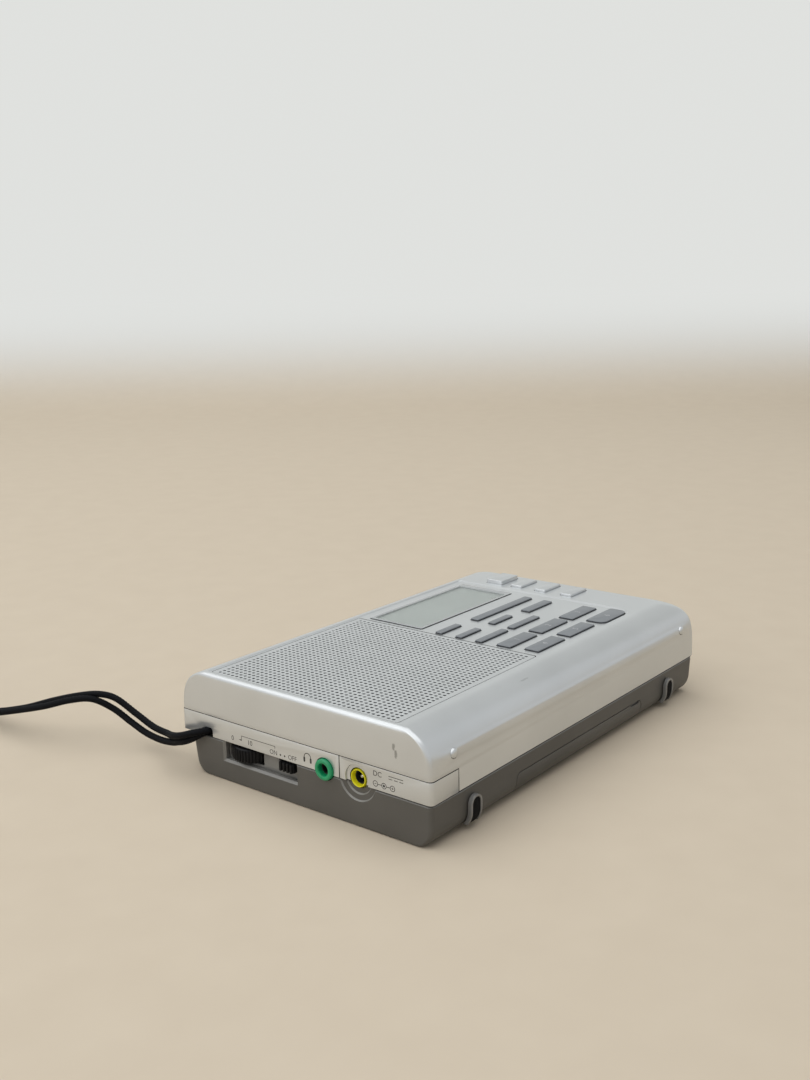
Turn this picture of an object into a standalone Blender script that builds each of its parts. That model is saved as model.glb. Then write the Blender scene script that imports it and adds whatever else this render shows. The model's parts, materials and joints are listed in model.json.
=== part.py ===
"""Shortwave receiver lying on its back, as separate sub-parts.

Lengths are millimetres measured from the near lower corner of the case:
x runs along the long side, y from the standing edge to the aerial edge and
z up from the table.  place() turns them into the world frame, whose origin
is the middle of the rear face.
"""
import math

import bmesh
import bpy
from mathutils import Matrix, Vector

MM = 0.001
GAP = 0.3

# Front panel along the case: margin, grille, window column, far band.
NEAR_MARGIN = 3.0
GRILLE_LONG = 74.2
COLUMN_GAP = 2.1
WINDOW_LONG = 58.7
WINDOW_END_MARGIN = 3.6
FAR_BAND = 26.4
GRILLE_X = NEAR_MARGIN
WINDOW_X = GRILLE_X + GRILLE_LONG + COLUMN_GAP
PANEL_X1 = WINDOW_X + WINDOW_LONG + WINDOW_END_MARGIN
LENGTH = PANEL_X1 + FAR_BAND

# Front panel across the case: standing band, keypad, window, aerial band.
STAND_BAND = 13.4
KEYPAD_WIDE = 50.8
WINDOW_WIDE = 24.1
WINDOW_SIDE_MARGIN = 4.3
AERIAL_BAND = 11.4
PANEL_Y0 = STAND_BAND
WINDOW_Y = PANEL_Y0 + KEYPAD_WIDE
PANEL_Y1 = WINDOW_Y + WINDOW_WIDE + WINDOW_SIDE_MARGIN
WIDTH = PANEL_Y1 + AERIAL_BAND
PANEL_RIM = 0.6
GRILLE_RIM = 1.0

# Depth of the two halves and their walls.
REAR_DEEP = 13.7
FRONT_DEEP = 21.9
STRIP_HIGH = 7.6
SEAM_HALF = 0.15
WALL = 2.0
ROOF = 2.2
FLOOR = 2.0
PARTING_Z = REAR_DEEP
FRONT_Z = PARTING_Z + FRONT_DEEP
SEAM_Z = PARTING_Z + STRIP_HIGH
ROOF_Z = FRONT_Z - ROOF
REAR_TOP = PARTING_Z - SEAM_HALF
FRONT_BOTTOM = PARTING_Z + SEAM_HALF
REAR_INSET = 0.3
REAR_STEP = 2.8
REAR_FAR_Y = WIDTH - REAR_STEP
STAND_RADIUS = 6.5
AERIAL_EDGE = 4.5
FAR_END_EDGE = 2.0
NEAR_END_EDGE = 0.8
FAR_END_LEAN = 0.14
NEAR_CORNER = 1.6
FAR_CORNER_FOOT = 1.6
FAR_CORNER_TOP = 5.2
FAR_CORNER_FADE = 4.8
REAR_CORNERS = (NEAR_CORNER, 2.2, 2.2, 4.5)
CORNER_STEPS = 4

# Roll-over of the front half's sides: how far a side leans in at the front,
# and the depth over which the lean fades.
LONG_ROLL = (10.2, 3.2)
FAR_ROLL = (7.4, 2.0)
NEAR_ROLL = (1.2, 0.36)
ROLL_DROPS = (14.3, 9.6, 6.6, 4.6, 3.0, 1.8, 0.9, 0.3, 0.0)

# Panel recess with its sloped rim, grille, window and what lies behind.
PANEL_STEP = 0.5
PANEL_CORNER = 7.0
PANEL_SLOPE = 0.4
PANEL_FAR_SLOPE = 3.0
PANEL_Z = FRONT_Z - PANEL_STEP
GRILLE_THICK = 0.8
GRILLE_CELLS = 13
GRILLE_HOLE = 2.5
GRILLE_Z1 = PANEL_Z - 0.05
GRILLE_Z0 = GRILLE_Z1 - GRILLE_THICK
WINDOW_SUNK = 0.3
WINDOW_THICK = 1.0
WINDOW_Z1 = PANEL_Z - WINDOW_SUNK
HOLDER_HIGH = 2.8
HOLDER_RIM = 0.6
GLASS_THICK = 2.0
BOARD_THICK = 1.2
HOLDER_Z1 = ROOF_Z - GAP
HOLDER_Z0 = HOLDER_Z1 - HOLDER_HIGH
KEY_BOARD_Z1 = HOLDER_Z0 - GAP

# Keys: name, start along the column, length, start above the panel edge,
# width, height above the panel, corner radius of the standing side.
DARK_KEYS = [
    ("key_a1", -0.9, 12.2, 41.2, 2.7, 1.0, 1.2),
    ("key_a2", 19.9, 36.6, 39.9, 3.4, 1.0, 1.6),
    ("key_b1", -0.9, 12.2, 32.5, 2.7, 1.0, 1.2),
    ("key_b2", 19.5, 12.1, 32.5, 2.7, 1.0, 1.2),
    ("key_b3", 40.1, 16.2, 30.7, 3.7, 1.0, 1.6),
    ("key_c1", -0.9, 16.6, 23.9, 2.8, 1.0, 1.2),
    ("key_c2", 18.9, 17.4, 23.7, 2.8, 1.0, 1.2),
    ("key_d1", -0.2, 17.2, 12.6, 5.6, 0.9, 1.2),
    ("key_d2", 20.1, 17.6, 12.6, 5.6, 0.9, 1.2),
    ("key_d3", 40.6, 17.5, 12.3, 5.8, 0.9, 1.2),
    ("key_e1", 1.5, 17.2, 2.3, 5.6, 0.9, 1.2),
    ("key_e2", 22.3, 16.8, 2.3, 5.6, 0.9, 1.2),
    ("key_e3", 42.8, 17.7, 0.9, 6.9, 0.9, 4.6),
]
# Keys of the far band, measured from the panel's end and the window's foot.
SILVER_KEYS = [
    ("side_key_1", 4.4, 11.8, 10.0, 7.4, 1.5, 1.4),
    ("side_key_2", 4.4, 11.8, 0.7, 5.0, 0.9, 1.4),
    ("side_key_3", 4.4, 11.8, -10.5, 5.0, 0.9, 1.4),
    ("side_key_4", 4.4, 11.8, -22.4, 5.0, 0.9, 1.4),
]
KEY_REACH = 2.2
KEY_TOP_RADIUS = 1.4
KEY_Z0 = ROOF_Z - KEY_REACH

# Strips and sockets of the near end.
STRIP_THICK = 1.8
STRIP_WRAP = 13.1
STRIP_JOIN_Y = 34.6
PHONES_FROM_JOIN = 6.0
PHONES_Y = STRIP_JOIN_Y + PHONES_FROM_JOIN
PHONES_Z = PARTING_Z + 1.6
PHONES_RADIUS = 3.6
PHONES_BORE = 1.75
PHONES_REACH = 1.5
POWER_FROM_JOIN = 6.8
POWER_Y = STRIP_JOIN_Y - POWER_FROM_JOIN
POWER_Z = PARTING_Z + 1.8
POWER_RADIUS = 3.2
POWER_BORE = 2.75
POWER_SUNK = 0.8
STRIP_DISH = [(4.9, POWER_SUNK)]
REAR_DISH = [(8.0, 0.8), (5.2, 1.2)]
POWER_PIN = 0.65
SOCKET_BODY = 4.4
SOCKET_LONG = 12.0
SOCKET_PLAY = 0.4
JACK_BOARD_X1 = 22.0
JACK_BOARD_MARGIN = 7.4
JACK_BOARD_Z1 = min(PHONES_Z, POWER_Z) - SOCKET_BODY - GAP

# Strap notch, its bar and the lugs that carry the bar.
NOTCH_WIDE = 6.9
NOTCH_FROM_SIDE = 7.6
NOTCH_HIGH = 4.3
NOTCH_Y = WIDTH - NOTCH_FROM_SIDE - NOTCH_WIDE
NOTCH_Z1 = PARTING_Z + NOTCH_HIGH
BAR_X = 4.6
BAR_Z = PARTING_Z + 2.5
BAR_RADIUS = 1.0
LUG_THICK = 1.2

# Controls: window in the near wall, gain wheel and switch, volume wheel.
CONTROL_Y = STRIP_JOIN_Y + 18.4
CONTROL_WIDE = 31.6
CONTROL_HIGH = 6.05
WHEEL_THICK = 4.6
WHEEL_TOP = REAR_TOP - 0.35
WHEEL_PROUD = 0.9
WHEEL_BORE = 1.6
POST_RADIUS = 3.0
GAIN_RADIUS = 8.0
VOLUME_RADIUS = 9.0
SWITCH_LONG = 6.0
SWITCH_HIGH = 2.8
SWITCH_PROUD = 0.6
SWITCH_TRAVEL = 2.2
SWITCH_MARGIN = 0.6
PLATE_X = REAR_INSET + WALL + 0.5
PLATE_THICK = 1.1
GAIN_X = GAIN_RADIUS - WHEEL_PROUD
GAIN_MARGIN = 7.8
GAIN_Y = CONTROL_Y + CONTROL_WIDE - GAIN_MARGIN
VOLUME_PROUD = 0.6
VOLUME_CUT = 5.0
VOLUME_FROM_SIDE = 35.0
VOLUME_X = LENGTH - VOLUME_RADIUS + VOLUME_PROUD
VOLUME_Y = WIDTH - VOLUME_FROM_SIDE
SWITCH_Y = CONTROL_Y + SWITCH_MARGIN
SWITCH_Z1 = WHEEL_TOP

# Cells lying along the case, their box and the lid under them.
CELL_COUNT = 3
CELL_RADIUS = 7.25
CELL_LONG = 50.5
CELL_NUB = 2.75
CELL_PLAY = 0.6
LID_THICK = 1.8
LID_X = 44.3
LID_LONG = 81.4
LID_LIP = 8.3
CELL_X = LID_X + 18.2
CELL_PITCH = 2 * CELL_RADIUS + CELL_PLAY
CELL_Y = REAR_INSET + LID_THICK + CELL_PLAY + CELL_RADIUS
CELL_Z = LID_THICK + CELL_PLAY + CELL_RADIUS
LID_Y1 = CELL_Y + (CELL_COUNT - 1) * CELL_PITCH + CELL_RADIUS
CONTACT_THICK = 0.8
BOX_WALL = 1.1
BOX_CEILING = CELL_Z + CELL_RADIUS + GAP
MAIN_BOARD_Z = BOX_CEILING + BOX_WALL + GAP

# Circuit boards: distance from the panel's and the case's edges, and posts.
MAIN_BOARD_END = 6.5
MAIN_BOARD_SIDE = 4.0
KEY_BOARD_END = 8.0
KEY_BOARD_SIDE = 3.4
BOARD_POST_EDGE = 4.2
BOARD_POST_RADIUS = 2.2
LID_POST_GAP = 6.0

# Feet and moulded nubs of the standing edge.
FEET_X = (20.2, LENGTH - 22.5)
FOOT_WIDTH = 5.6
FOOT_TOP = 11.0
FOOT_BOTTOM = 1.8
FOOT_REACH = 1.4
NUBS_X = (10.2, LENGTH - 11.4)
NUB_DROP = 8.2
NUB_RADIUS = 1.8
NUB_REACH = 0.4

# Speaker behind the grille, and the ferrite rod.
SPEAKER_X = GRILLE_X + GRILLE_LONG / 2
SPEAKER_Y = (PANEL_Y0 + PANEL_Y1) / 2
SPEAKER_RADIUS = 33.0
BASKET_RIM = 3.4
BASKET_DEEP = 10.0
CONE_DEEP = 6.8
CONE_THICK = 0.8
CONE_EDGE = 6.0
COIL_CAP = 5.0
CONE_NECK = 9.0
MAGNET_RADIUS = 16.0
MAGNET_THICK = 8.0
SPEAKER_Z = ROOF_Z - GAP
FERRITE_RADIUS = 4.0
FERRITE_LONG = 76.0
FERRITE_END = 10.0
FERRITE_SIDE = 8.6
FERRITE_DROP = 11.2
FERRITE_X = LENGTH - FERRITE_END - FERRITE_LONG
FERRITE_Y = WIDTH - FERRITE_SIDE
FERRITE_Z = FRONT_Z - FERRITE_DROP
SADDLE_FROM_END = 5.0
SADDLE_HALF = 1.0
COIL_THICK = 0.6
COIL_LONG = 26.0
COIL_START = 30.0

# Telescopic aerial folded along the rear half.
AERIAL_FROM_END = 8.0
AERIAL_X = LENGTH - AERIAL_FROM_END
AERIAL_Z = 4.6
TUBES = [(3.0, 2.6), (2.3, 1.95), (1.65, 1.35), (1.05, 0.75)]
AERIAL_Y = REAR_FAR_Y + TUBES[0][0] + GAP
AERIAL_LONG = 134.0
ROD_RADIUS = 0.45
TIP_RADIUS = 2.8
TIP_LONG = 6.6
TONGUE = 1.8
SHOULDER = 6.5
ROOT_PLUG = 3.0
CHEEK_THICK = 1.3
CHEEK_HALF = 2.8
COLLAR_RADIUS = 3.6
BOSS_RADIUS = 3.9
PIVOT_RADIUS = 1.9

# Wrist strap: cord radius and its hand-chosen route, out along the lower
# strand, round the far bend and back along the upper strand.
STRAP_RADIUS = 1.2
STRAP_ROUTE = [
    (3.2, 92.8, 15.05), (1.0, 93.7, 15.05), (-0.8, 95.2, 15.0),
    (-1.9, 97.7, 14.4), (-1.9, 101.0, 12.7), (-0.7, 105.2, 10.3),
    (1.8, 111.0, 7.4), (2.8, 119.0, 5.9), (2.9, 127.0, 6.6),
    (2.0, 134.0, 9.6), (-0.4, 140.4, 13.4), (-4.4, 146.6, 15.9),
    (-8.9, 153.6, 15.3), (-13.4, 163.2, 12.1), (-17.2, 181.0, 7.1),
    (-20.3, 200.0, 2.9), (-22.6, 216.0, 1.5), (-23.0, 228.5, 1.4),
    (-22.3, 236.2, 1.4), (-18.9, 241.1, 1.4), (-13.1, 241.1, 1.4),
    (-9.7, 236.2, 1.4), (-9.6, 228.5, 1.5), (-11.4, 214.0, 2.4),
    (-13.8, 196.0, 5.2), (-14.2, 174.6, 10.8), (-10.9, 159.8, 16.0),
    (-6.6, 151.2, 18.5), (-2.8, 144.8, 19.2), (0.6, 139.6, 17.6),
    (3.2, 132.6, 12.8), (4.2, 124.4, 9.3), (3.0, 115.6, 9.8),
    (0.3, 109.8, 11.3), (-2.2, 105.6, 12.9), (-3.6, 102.2, 14.5),
    (-3.9, 98.8, 15.8), (-3.2, 95.6, 16.5), (-1.0, 92.7, 16.7),
    (3.2, 90.8, 16.7),
]


def clear_scene():
    """Take every object of the start-up file away."""
    for obj in list(bpy.data.objects):
        bpy.data.objects.remove(obj, do_unlink=True)


def place(point):
    """Near-corner millimetres to world metres."""
    x, y, z = point
    return Vector(((x - LENGTH / 2) * MM, (y - WIDTH / 2) * MM, z * MM))


def make_material(name, colour, metallic=0.0, roughness=0.5, alpha=1.0):
    """Plain Principled material of one sub-part."""
    material = bpy.data.materials.new(name)
    material.use_nodes = True
    shader = material.node_tree.nodes["Principled BSDF"]
    shader.inputs["Base Color"].default_value = (*colour, 1.0)
    shader.inputs["Metallic"].default_value = metallic
    shader.inputs["Roughness"].default_value = roughness
    shader.inputs["Alpha"].default_value = alpha
    return material


def arc(cx, cy, radius, start, end, steps):
    """Points of an arc in degrees, both ends included."""
    points = []
    for i in range(steps + 1):
        angle = math.radians(start + (end - start) * i / steps)
        points.append((cx + radius * math.cos(angle),
                       cy + radius * math.sin(angle)))
    return points


def rounded_rect(x0, x1, y0, y1, radii, steps=CORNER_STEPS):
    """Outline of a rectangle whose four corners have their own radii."""
    r00, r10, r11, r01 = radii
    return (arc(x0 + r00, y0 + r00, r00, 180, 270, steps)
            + arc(x1 - r10, y0 + r10, r10, 270, 360, steps)
            + arc(x1 - r11, y1 - r11, r11, 0, 90, steps)
            + arc(x0 + r01, y1 - r01, r01, 90, 180, steps))


def spread(axis, along, across):
    """Point from its height along an axis and the other two coordinates."""
    u, v = across
    if axis == "X":
        return (along, u, v)
    if axis == "Y":
        return (u, along, v)
    return (u, v, along)


def loft(rings):
    """Skin through rings of equal length, capped at both ends."""
    bm = bmesh.new()
    loops = [[bm.verts.new(point) for point in ring] for ring in rings]
    bm.faces.new(loops[0])
    bm.faces.new(loops[-1])
    count = len(loops[0])
    for low, high in zip(loops, loops[1:]):
        for i in range(count):
            j = (i + 1) % count
            bm.faces.new((low[i], low[j], high[j], high[i]))
    return bm


def prism(outline, axis, low, high):
    """Straight extrusion of an outline along one axis."""
    bm = bmesh.new()
    face = bm.faces.new([bm.verts.new(spread(axis, low, point))
                         for point in outline])
    grown = bmesh.ops.extrude_face_region(bm, geom=[face])["geom"]
    moved = [item for item in grown if isinstance(item, bmesh.types.BMVert)]
    bmesh.ops.translate(bm, verts=moved,
                        vec=spread(axis, high - low, (0.0, 0.0)))
    return bm


def box(x0, x1, y0, y1, z0, z1):
    """Rectangular block."""
    return prism([(x0, y0), (x1, y0), (x1, y1), (x0, y1)], "Z", z0, z1)


def lathe(profile, axis, centre, steps=24):
    """Closed (radius, height) profile spun about an axis line."""
    bm = bmesh.new()
    verts = [bm.verts.new(spread(axis, height,
                                 (centre[0] + radius, centre[1])))
             for radius, height in profile]
    edges = []
    for i, vert in enumerate(verts):
        j = (i + 1) % len(verts)
        on_axis = max(profile[i][0], profile[j][0]) < 1e-6
        if not on_axis:
            edges.append(bm.edges.new((vert, verts[j])))
    bmesh.ops.spin(bm, geom=verts + edges, cent=spread(axis, 0.0, centre),
                   axis=spread(axis, 1.0, (0.0, 0.0)), angle=2 * math.pi,
                   steps=steps)
    bmesh.ops.remove_doubles(bm, verts=bm.verts, dist=1e-4)
    return bm


def rod(axis, centre, radius, low, high, steps=16):
    """Solid cylinder along an axis."""
    profile = [(0.0, low), (radius, low), (radius, high), (0.0, high)]
    return lathe(profile, axis, centre, steps)


def make_object(name, shapes, origin=None):
    """Mesh object of some shapes, its origin where it turns or slides."""
    home = Vector((0.0, 0.0, 0.0)) if origin is None else place(origin)
    whole = bmesh.new()
    for shape in shapes:
        bmesh.ops.recalc_face_normals(shape, faces=shape.faces)
        mesh = bpy.data.meshes.new("shape")
        shape.to_mesh(mesh)
        shape.free()
        whole.from_mesh(mesh)
        bpy.data.meshes.remove(mesh)
    frame = Matrix.Translation(place((0.0, 0.0, 0.0)) - home)
    whole.transform(frame @ Matrix.Diagonal((MM, MM, MM, 1.0)))
    mesh = bpy.data.meshes.new(name)
    whole.to_mesh(mesh)
    whole.free()
    obj = bpy.data.objects.new(name, mesh)
    obj.location = home
    bpy.context.scene.collection.objects.link(obj)
    return obj


def combine(obj, shapes, operation):
    """Boolean of an object with some shapes, kept as plain mesh."""
    tool = make_object(obj.name + "_tool", shapes)
    tool.hide_render = True
    tool.display_type = "WIRE"
    step = obj.modifiers.new("combine", "BOOLEAN")
    step.operation = operation
    step.solver = "EXACT"
    step.object = tool
    bpy.context.view_layer.update()
    graph = bpy.context.evaluated_depsgraph_get()
    mesh = bpy.data.meshes.new_from_object(obj.evaluated_get(graph))
    obj.modifiers.clear()
    old = obj.data
    obj.data = mesh
    bpy.data.meshes.remove(old)
    mesh.name = obj.name
    bpy.data.objects.remove(tool, do_unlink=True)


def make_piece(name, shape, material, origin=None, adds=None, cuts=None):
    """One named sub-part: a shape with others joined to it and cut out."""
    obj = make_object(name, [shape], origin)
    if adds:
        combine(obj, adds, "UNION")
    if cuts:
        combine(obj, cuts, "DIFFERENCE")
    obj.data.materials.clear()
    obj.data.materials.append(material)
    obj.data.shade_smooth()
    obj.data.set_sharp_from_angle(angle=math.radians(35.0))
    return obj


def lean(roll, z):
    """Inward lean of a side of the front half at height z."""
    reach, fade = roll
    return reach * math.exp((z - FRONT_Z) / fade)


def far_corner(z):
    """Plan radius of the far corners, tight at the rim and wide in front."""
    wider = FAR_CORNER_TOP - FAR_CORNER_FOOT
    return FAR_CORNER_FOOT + wider * math.exp((z - FRONT_Z) / FAR_CORNER_FADE)


def front_ring(z, lean_z, inset, near_radius, far_radius):
    """Plan outline of the front half at one level."""
    x0 = lean(NEAR_ROLL, lean_z) + inset
    x1 = LENGTH - lean(FAR_ROLL, lean_z) - inset
    y0 = lean(LONG_ROLL, lean_z) + inset
    y1 = WIDTH - y0
    radii = (near_radius, far_radius, far_radius, near_radius)
    return [(x, y, z) for x, y in rounded_rect(x0, x1, y0, y1, radii)]


def front_shell():
    """Silver half shell: inner roof down to the rim, then up outside."""
    inner_near = NEAR_CORNER - 0.6
    inner_far = FAR_CORNER_FOOT
    rings = [front_ring(ROOF_Z, FRONT_Z - 0.2, 1.4, inner_near, inner_far)]
    for drop in (4.6, 6.6, 9.6):
        z = FRONT_Z - drop
        rings.append(front_ring(z, z + 1.4, WALL - 0.2, inner_near,
                                inner_far))
    rings.append(front_ring(FRONT_BOTTOM, FRONT_BOTTOM, WALL, inner_near,
                            inner_far))
    rings.append(front_ring(FRONT_BOTTOM, FRONT_BOTTOM, 0.0, NEAR_CORNER,
                            far_corner(FRONT_BOTTOM)))
    for drop in ROLL_DROPS:
        z = FRONT_Z - drop
        rings.append(front_ring(z, z, 0.0, NEAR_CORNER, far_corner(z)))
    return loft(rings)


def key_place(key):
    """Edges of a key in the case's own frame, and the panel it stands on."""
    name, along, length, across, width, height, radius = key
    if key in SILVER_KEYS:
        x0 = PANEL_X1 + along
        y0 = WINDOW_Y + across
        base = FRONT_Z
    else:
        x0 = WINDOW_X + along
        y0 = PANEL_Y0 + across
        base = PANEL_Z
    return x0, x0 + length, y0, y0 + width, base + height


def key_outline(key, margin=0.0):
    """Plan outline of a key, its far standing corner rounder if need be."""
    x0, x1, y0, y1, top = key_place(key)
    radius = key[-1]
    low = radius + margin
    high = min(radius, KEY_TOP_RADIUS) + margin
    return rounded_rect(x0 - margin, x1 + margin, y0 - margin, y1 + margin,
                        (high, low, high, high), 2)


def ferrite_saddles():
    """Two ribs under the front that hold the ferrite rod."""
    ribs = []
    wide = FERRITE_RADIUS + SADDLE_HALF
    for x in (FERRITE_X + SADDLE_FROM_END,
              FERRITE_X + FERRITE_LONG - SADDLE_FROM_END):
        ribs.append(box(x - SADDLE_HALF, x + SADDLE_HALF, FERRITE_Y - wide,
                        FERRITE_Y + wide, FERRITE_Z, FRONT_Z - 4.4))
    return ribs


def front_cabinet(material):
    """Front half with panel recess, window, key holes and strip seats."""
    rings = []
    for rise in (0.0, 2.0):
        side = PANEL_SLOPE * rise
        outline = rounded_rect(GRILLE_X - PANEL_RIM - side,
                               PANEL_X1 + PANEL_FAR_SLOPE * rise,
                               PANEL_Y0 - side, PANEL_Y1 + side,
                               (1.0, PANEL_CORNER, 1.0, 1.0), 5)
        rings.append([(x, y, PANEL_Z + PANEL_STEP * rise)
                      for x, y in outline])
    recess = loft(rings)
    nubs = []
    for x in NUBS_X:
        profile = [(0.0, WALL), (NUB_RADIUS, WALL), (NUB_RADIUS, GAP),
                   (NUB_RADIUS - 0.4, 0.2 - NUB_REACH), (0.0, -NUB_REACH)]
        nubs.append(lathe(profile, "Y", (x, FRONT_Z - NUB_DROP), 12))
    seat = rounded_rect(GRILLE_X - GAP, GRILLE_X + GRILLE_LONG + GAP,
                        PANEL_Y0 + GRILLE_RIM - GAP,
                        PANEL_Y1 - GRILLE_RIM + GAP, (1.0,) * 4, 2)
    window = rounded_rect(WINDOW_X - GAP, WINDOW_X + WINDOW_LONG + GAP,
                          WINDOW_Y - GAP, WINDOW_Y + WINDOW_WIDE + GAP,
                          (1.0,) * 4, 2)
    below = ROOF_Z - 1.0
    holes = [prism(seat, "Z", GRILLE_Z0 - 0.05, FRONT_Z),
             prism(window, "Z", below, FRONT_Z)]
    for key in DARK_KEYS + SILVER_KEYS:
        holes.append(prism(key_outline(key, GAP), "Z", below, FRONT_Z + 1.0))
    wrap = STRIP_WRAP + 0.25
    deep = STRIP_THICK + 0.5
    wide = WIDTH + 1.0
    band = [(-1.0, -1.0), (wrap, -1.0), (wrap, deep), (deep, deep),
            (deep, WIDTH - deep), (wrap, WIDTH - deep), (wrap, wide),
            (-1.0, wide)]
    holes.append(prism(band, "Z", FRONT_BOTTOM - 1.0, SEAM_Z + 0.1))
    opening = rod("Z", (SPEAKER_X, SPEAKER_Y), SPEAKER_RADIUS - 2.5, below,
                  GRILLE_Z0, 40)
    saddle = rod("X", (FERRITE_Y, FERRITE_Z), FERRITE_RADIUS + GAP,
                 FERRITE_X, FERRITE_X + FERRITE_LONG, 20)
    obj = make_piece("front_cabinet", front_shell(), material, adds=nubs,
                     cuts=[recess])
    combine(obj, ferrite_saddles(), "UNION")
    combine(obj, holes, "DIFFERENCE")
    combine(obj, [opening, saddle], "DIFFERENCE")


def grille_lines(low, high):
    """Cell borders of the perforated field between two edges."""
    step = (high - low - 2 * GRILLE_RIM) / GRILLE_CELLS
    return [low + GRILLE_RIM + step * i for i in range(GRILLE_CELLS + 1)]


def speaker_grille(material):
    """Perforated panel, its holes drawn on a coarser grid than the real."""
    x0 = GRILLE_X
    x1 = GRILLE_X + GRILLE_LONG
    y0 = PANEL_Y0 + GRILLE_RIM
    y1 = PANEL_Y1 - GRILLE_RIM
    lines_x = grille_lines(x0, x1)
    lines_y = grille_lines(y0, y1)
    half = GRILLE_HOLE / 2
    bm = bmesh.new()
    known = {}

    def vert(x, y, z):
        key = (round(x, 4), round(y, 4), z)
        if key not in known:
            known[key] = bm.verts.new(key)
        return known[key]

    def strip(inner, outer):
        """Ring of quads between two outlines, on both faces."""
        for k in range(len(inner)):
            m = (k + 1) % len(inner)
            for z in (GRILLE_Z0, GRILLE_Z1):
                corners = (outer[k], outer[m], inner[m], inner[k])
                bm.faces.new([vert(x, y, z) for x, y in corners])

    def wall(outline):
        """Upright faces along an outline."""
        for k in range(len(outline)):
            (ax, ay), (bx, by) = outline[k], outline[(k + 1) % len(outline)]
            bm.faces.new((vert(ax, ay, GRILLE_Z0), vert(bx, by, GRILLE_Z0),
                          vert(bx, by, GRILLE_Z1), vert(ax, ay, GRILLE_Z1)))

    for ax, bx in zip(lines_x, lines_x[1:]):
        for ay, by in zip(lines_y, lines_y[1:]):
            mx = (ax + bx) / 2
            my = (ay + by) / 2
            cell = [(ax, ay), (bx, ay), (bx, by), (ax, by)]
            hole = [(mx - half, my - half), (mx + half, my - half),
                    (mx + half, my + half), (mx - half, my + half)]
            strip(hole, cell)
            wall(hole)
    field = ([(x, lines_y[0]) for x in lines_x[:-1]]
             + [(lines_x[-1], y) for y in lines_y[:-1]]
             + [(x, lines_y[-1]) for x in lines_x[:0:-1]]
             + [(lines_x[0], y) for y in lines_y[:0:-1]])
    to_edge_x = {lines_x[0]: x0, lines_x[-1]: x1}
    to_edge_y = {lines_y[0]: y0, lines_y[-1]: y1}
    edge = [(to_edge_x.get(x, x), to_edge_y.get(y, y)) for x, y in field]
    strip(field, edge)
    wall(edge)
    make_piece("speaker_grille", bm, material)


def socket_cuts(dish):
    """Clearance of the sockets, with a dish of given radii and depths."""
    hole = PHONES_RADIUS + SOCKET_PLAY
    inside = REAR_INSET + WALL + 1.0
    phones = rod("X", (PHONES_Y, PHONES_Z), hole, -2.0, inside, 24)
    hole = POWER_RADIUS + SOCKET_PLAY
    steps = [(0.0, -1.0)]
    level = -1.0
    for radius, depth in dish:
        steps += [(radius, level), (radius, depth)]
        level = depth
    steps += [(hole, level), (hole, inside), (0.0, inside)]
    power = lathe(steps, "X", (POWER_Y, POWER_Z), 32)
    return [phones, power]


def end_strips(material):
    """The two silver strips that close the near end under the seam."""
    low = FRONT_BOTTOM
    high = SEAM_Z - SEAM_HALF
    inner = STRIP_THICK
    turn = NEAR_CORNER
    join = STRIP_JOIN_Y - SEAM_HALF
    corner = ([(0.0, join)] + arc(turn, turn, turn, 180, 270, 4)
              + [(STRIP_WRAP, 0.0), (STRIP_WRAP, inner), (inner, inner),
                 (inner, join)])
    make_piece("corner_strip", prism(corner, "Z", low, high), material,
               cuts=socket_cuts(STRIP_DISH))
    join = STRIP_JOIN_Y + SEAM_HALF
    end = ([(STRIP_WRAP, WIDTH)] + arc(turn, WIDTH - turn, turn, 90, 180, 4)
           + [(0.0, join), (inner, join), (inner, WIDTH - inner),
              (STRIP_WRAP, WIDTH - inner)])
    far_side = NOTCH_Y + NOTCH_WIDE
    lugs = []
    for y in (NOTCH_Y - LUG_THICK, far_side):
        lugs.append(box(inner - 0.4, BAR_X + BAR_RADIUS, y, y + LUG_THICK,
                        low + 0.3, NOTCH_Z1))
    notch = box(-1.0, inner + 0.1, NOTCH_Y, far_side, low - 1.0, NOTCH_Z1)
    make_piece("end_strip", prism(end, "Z", low, high), material, adds=lugs,
               cuts=socket_cuts(STRIP_DISH) + [notch])


def round_inset(z, radius):
    """Inset of a quarter-round edge at height z above its foot."""
    if z >= radius:
        return 0.0
    return radius - math.sqrt(radius * radius - (radius - z) ** 2)


def rear_ring(z):
    """Plan outline of the rear half at one level."""
    x0 = REAR_INSET + round_inset(z, NEAR_END_EDGE)
    lean_in = FAR_END_LEAN * (REAR_TOP - z)
    x1 = LENGTH - REAR_INSET - round_inset(z, FAR_END_EDGE) - lean_in
    y0 = REAR_INSET + round_inset(z, STAND_RADIUS)
    y1 = REAR_FAR_Y - round_inset(z, AERIAL_EDGE)
    outline = rounded_rect(x0, x1, y0, y1, REAR_CORNERS)
    return [(x, y, z) for x, y in outline]


def rear_shell():
    """Dark tub: outer skin up to the rim, then down inside to the floor."""
    levels = [0.0, 0.4, 0.9, 1.6, 2.8, 4.4, STAND_RADIUS, REAR_TOP]
    rings = [rear_ring(z) for z in levels]
    x0 = REAR_INSET + WALL
    y0 = REAR_INSET + WALL
    x1 = LENGTH - REAR_INSET - WALL - 0.7
    y1 = REAR_FAR_Y - WALL
    for z, inset in ((REAR_TOP, 0.0), (5.0, 0.5), (FLOOR, 4.0)):
        outline = rounded_rect(x0, x1 - inset, y0 + inset, y1 - inset / 2,
                               (1.0, 3.0, 3.0, 2.5))
        rings.append([(x, y, z) for x, y in outline])
    return loft(rings)


def wheels():
    """Name, centre, radius of the two thumbwheels."""
    return [("gain_wheel", GAIN_X, GAIN_Y, GAIN_RADIUS),
            ("volume_wheel", VOLUME_X, VOLUME_Y, VOLUME_RADIUS)]


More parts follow.
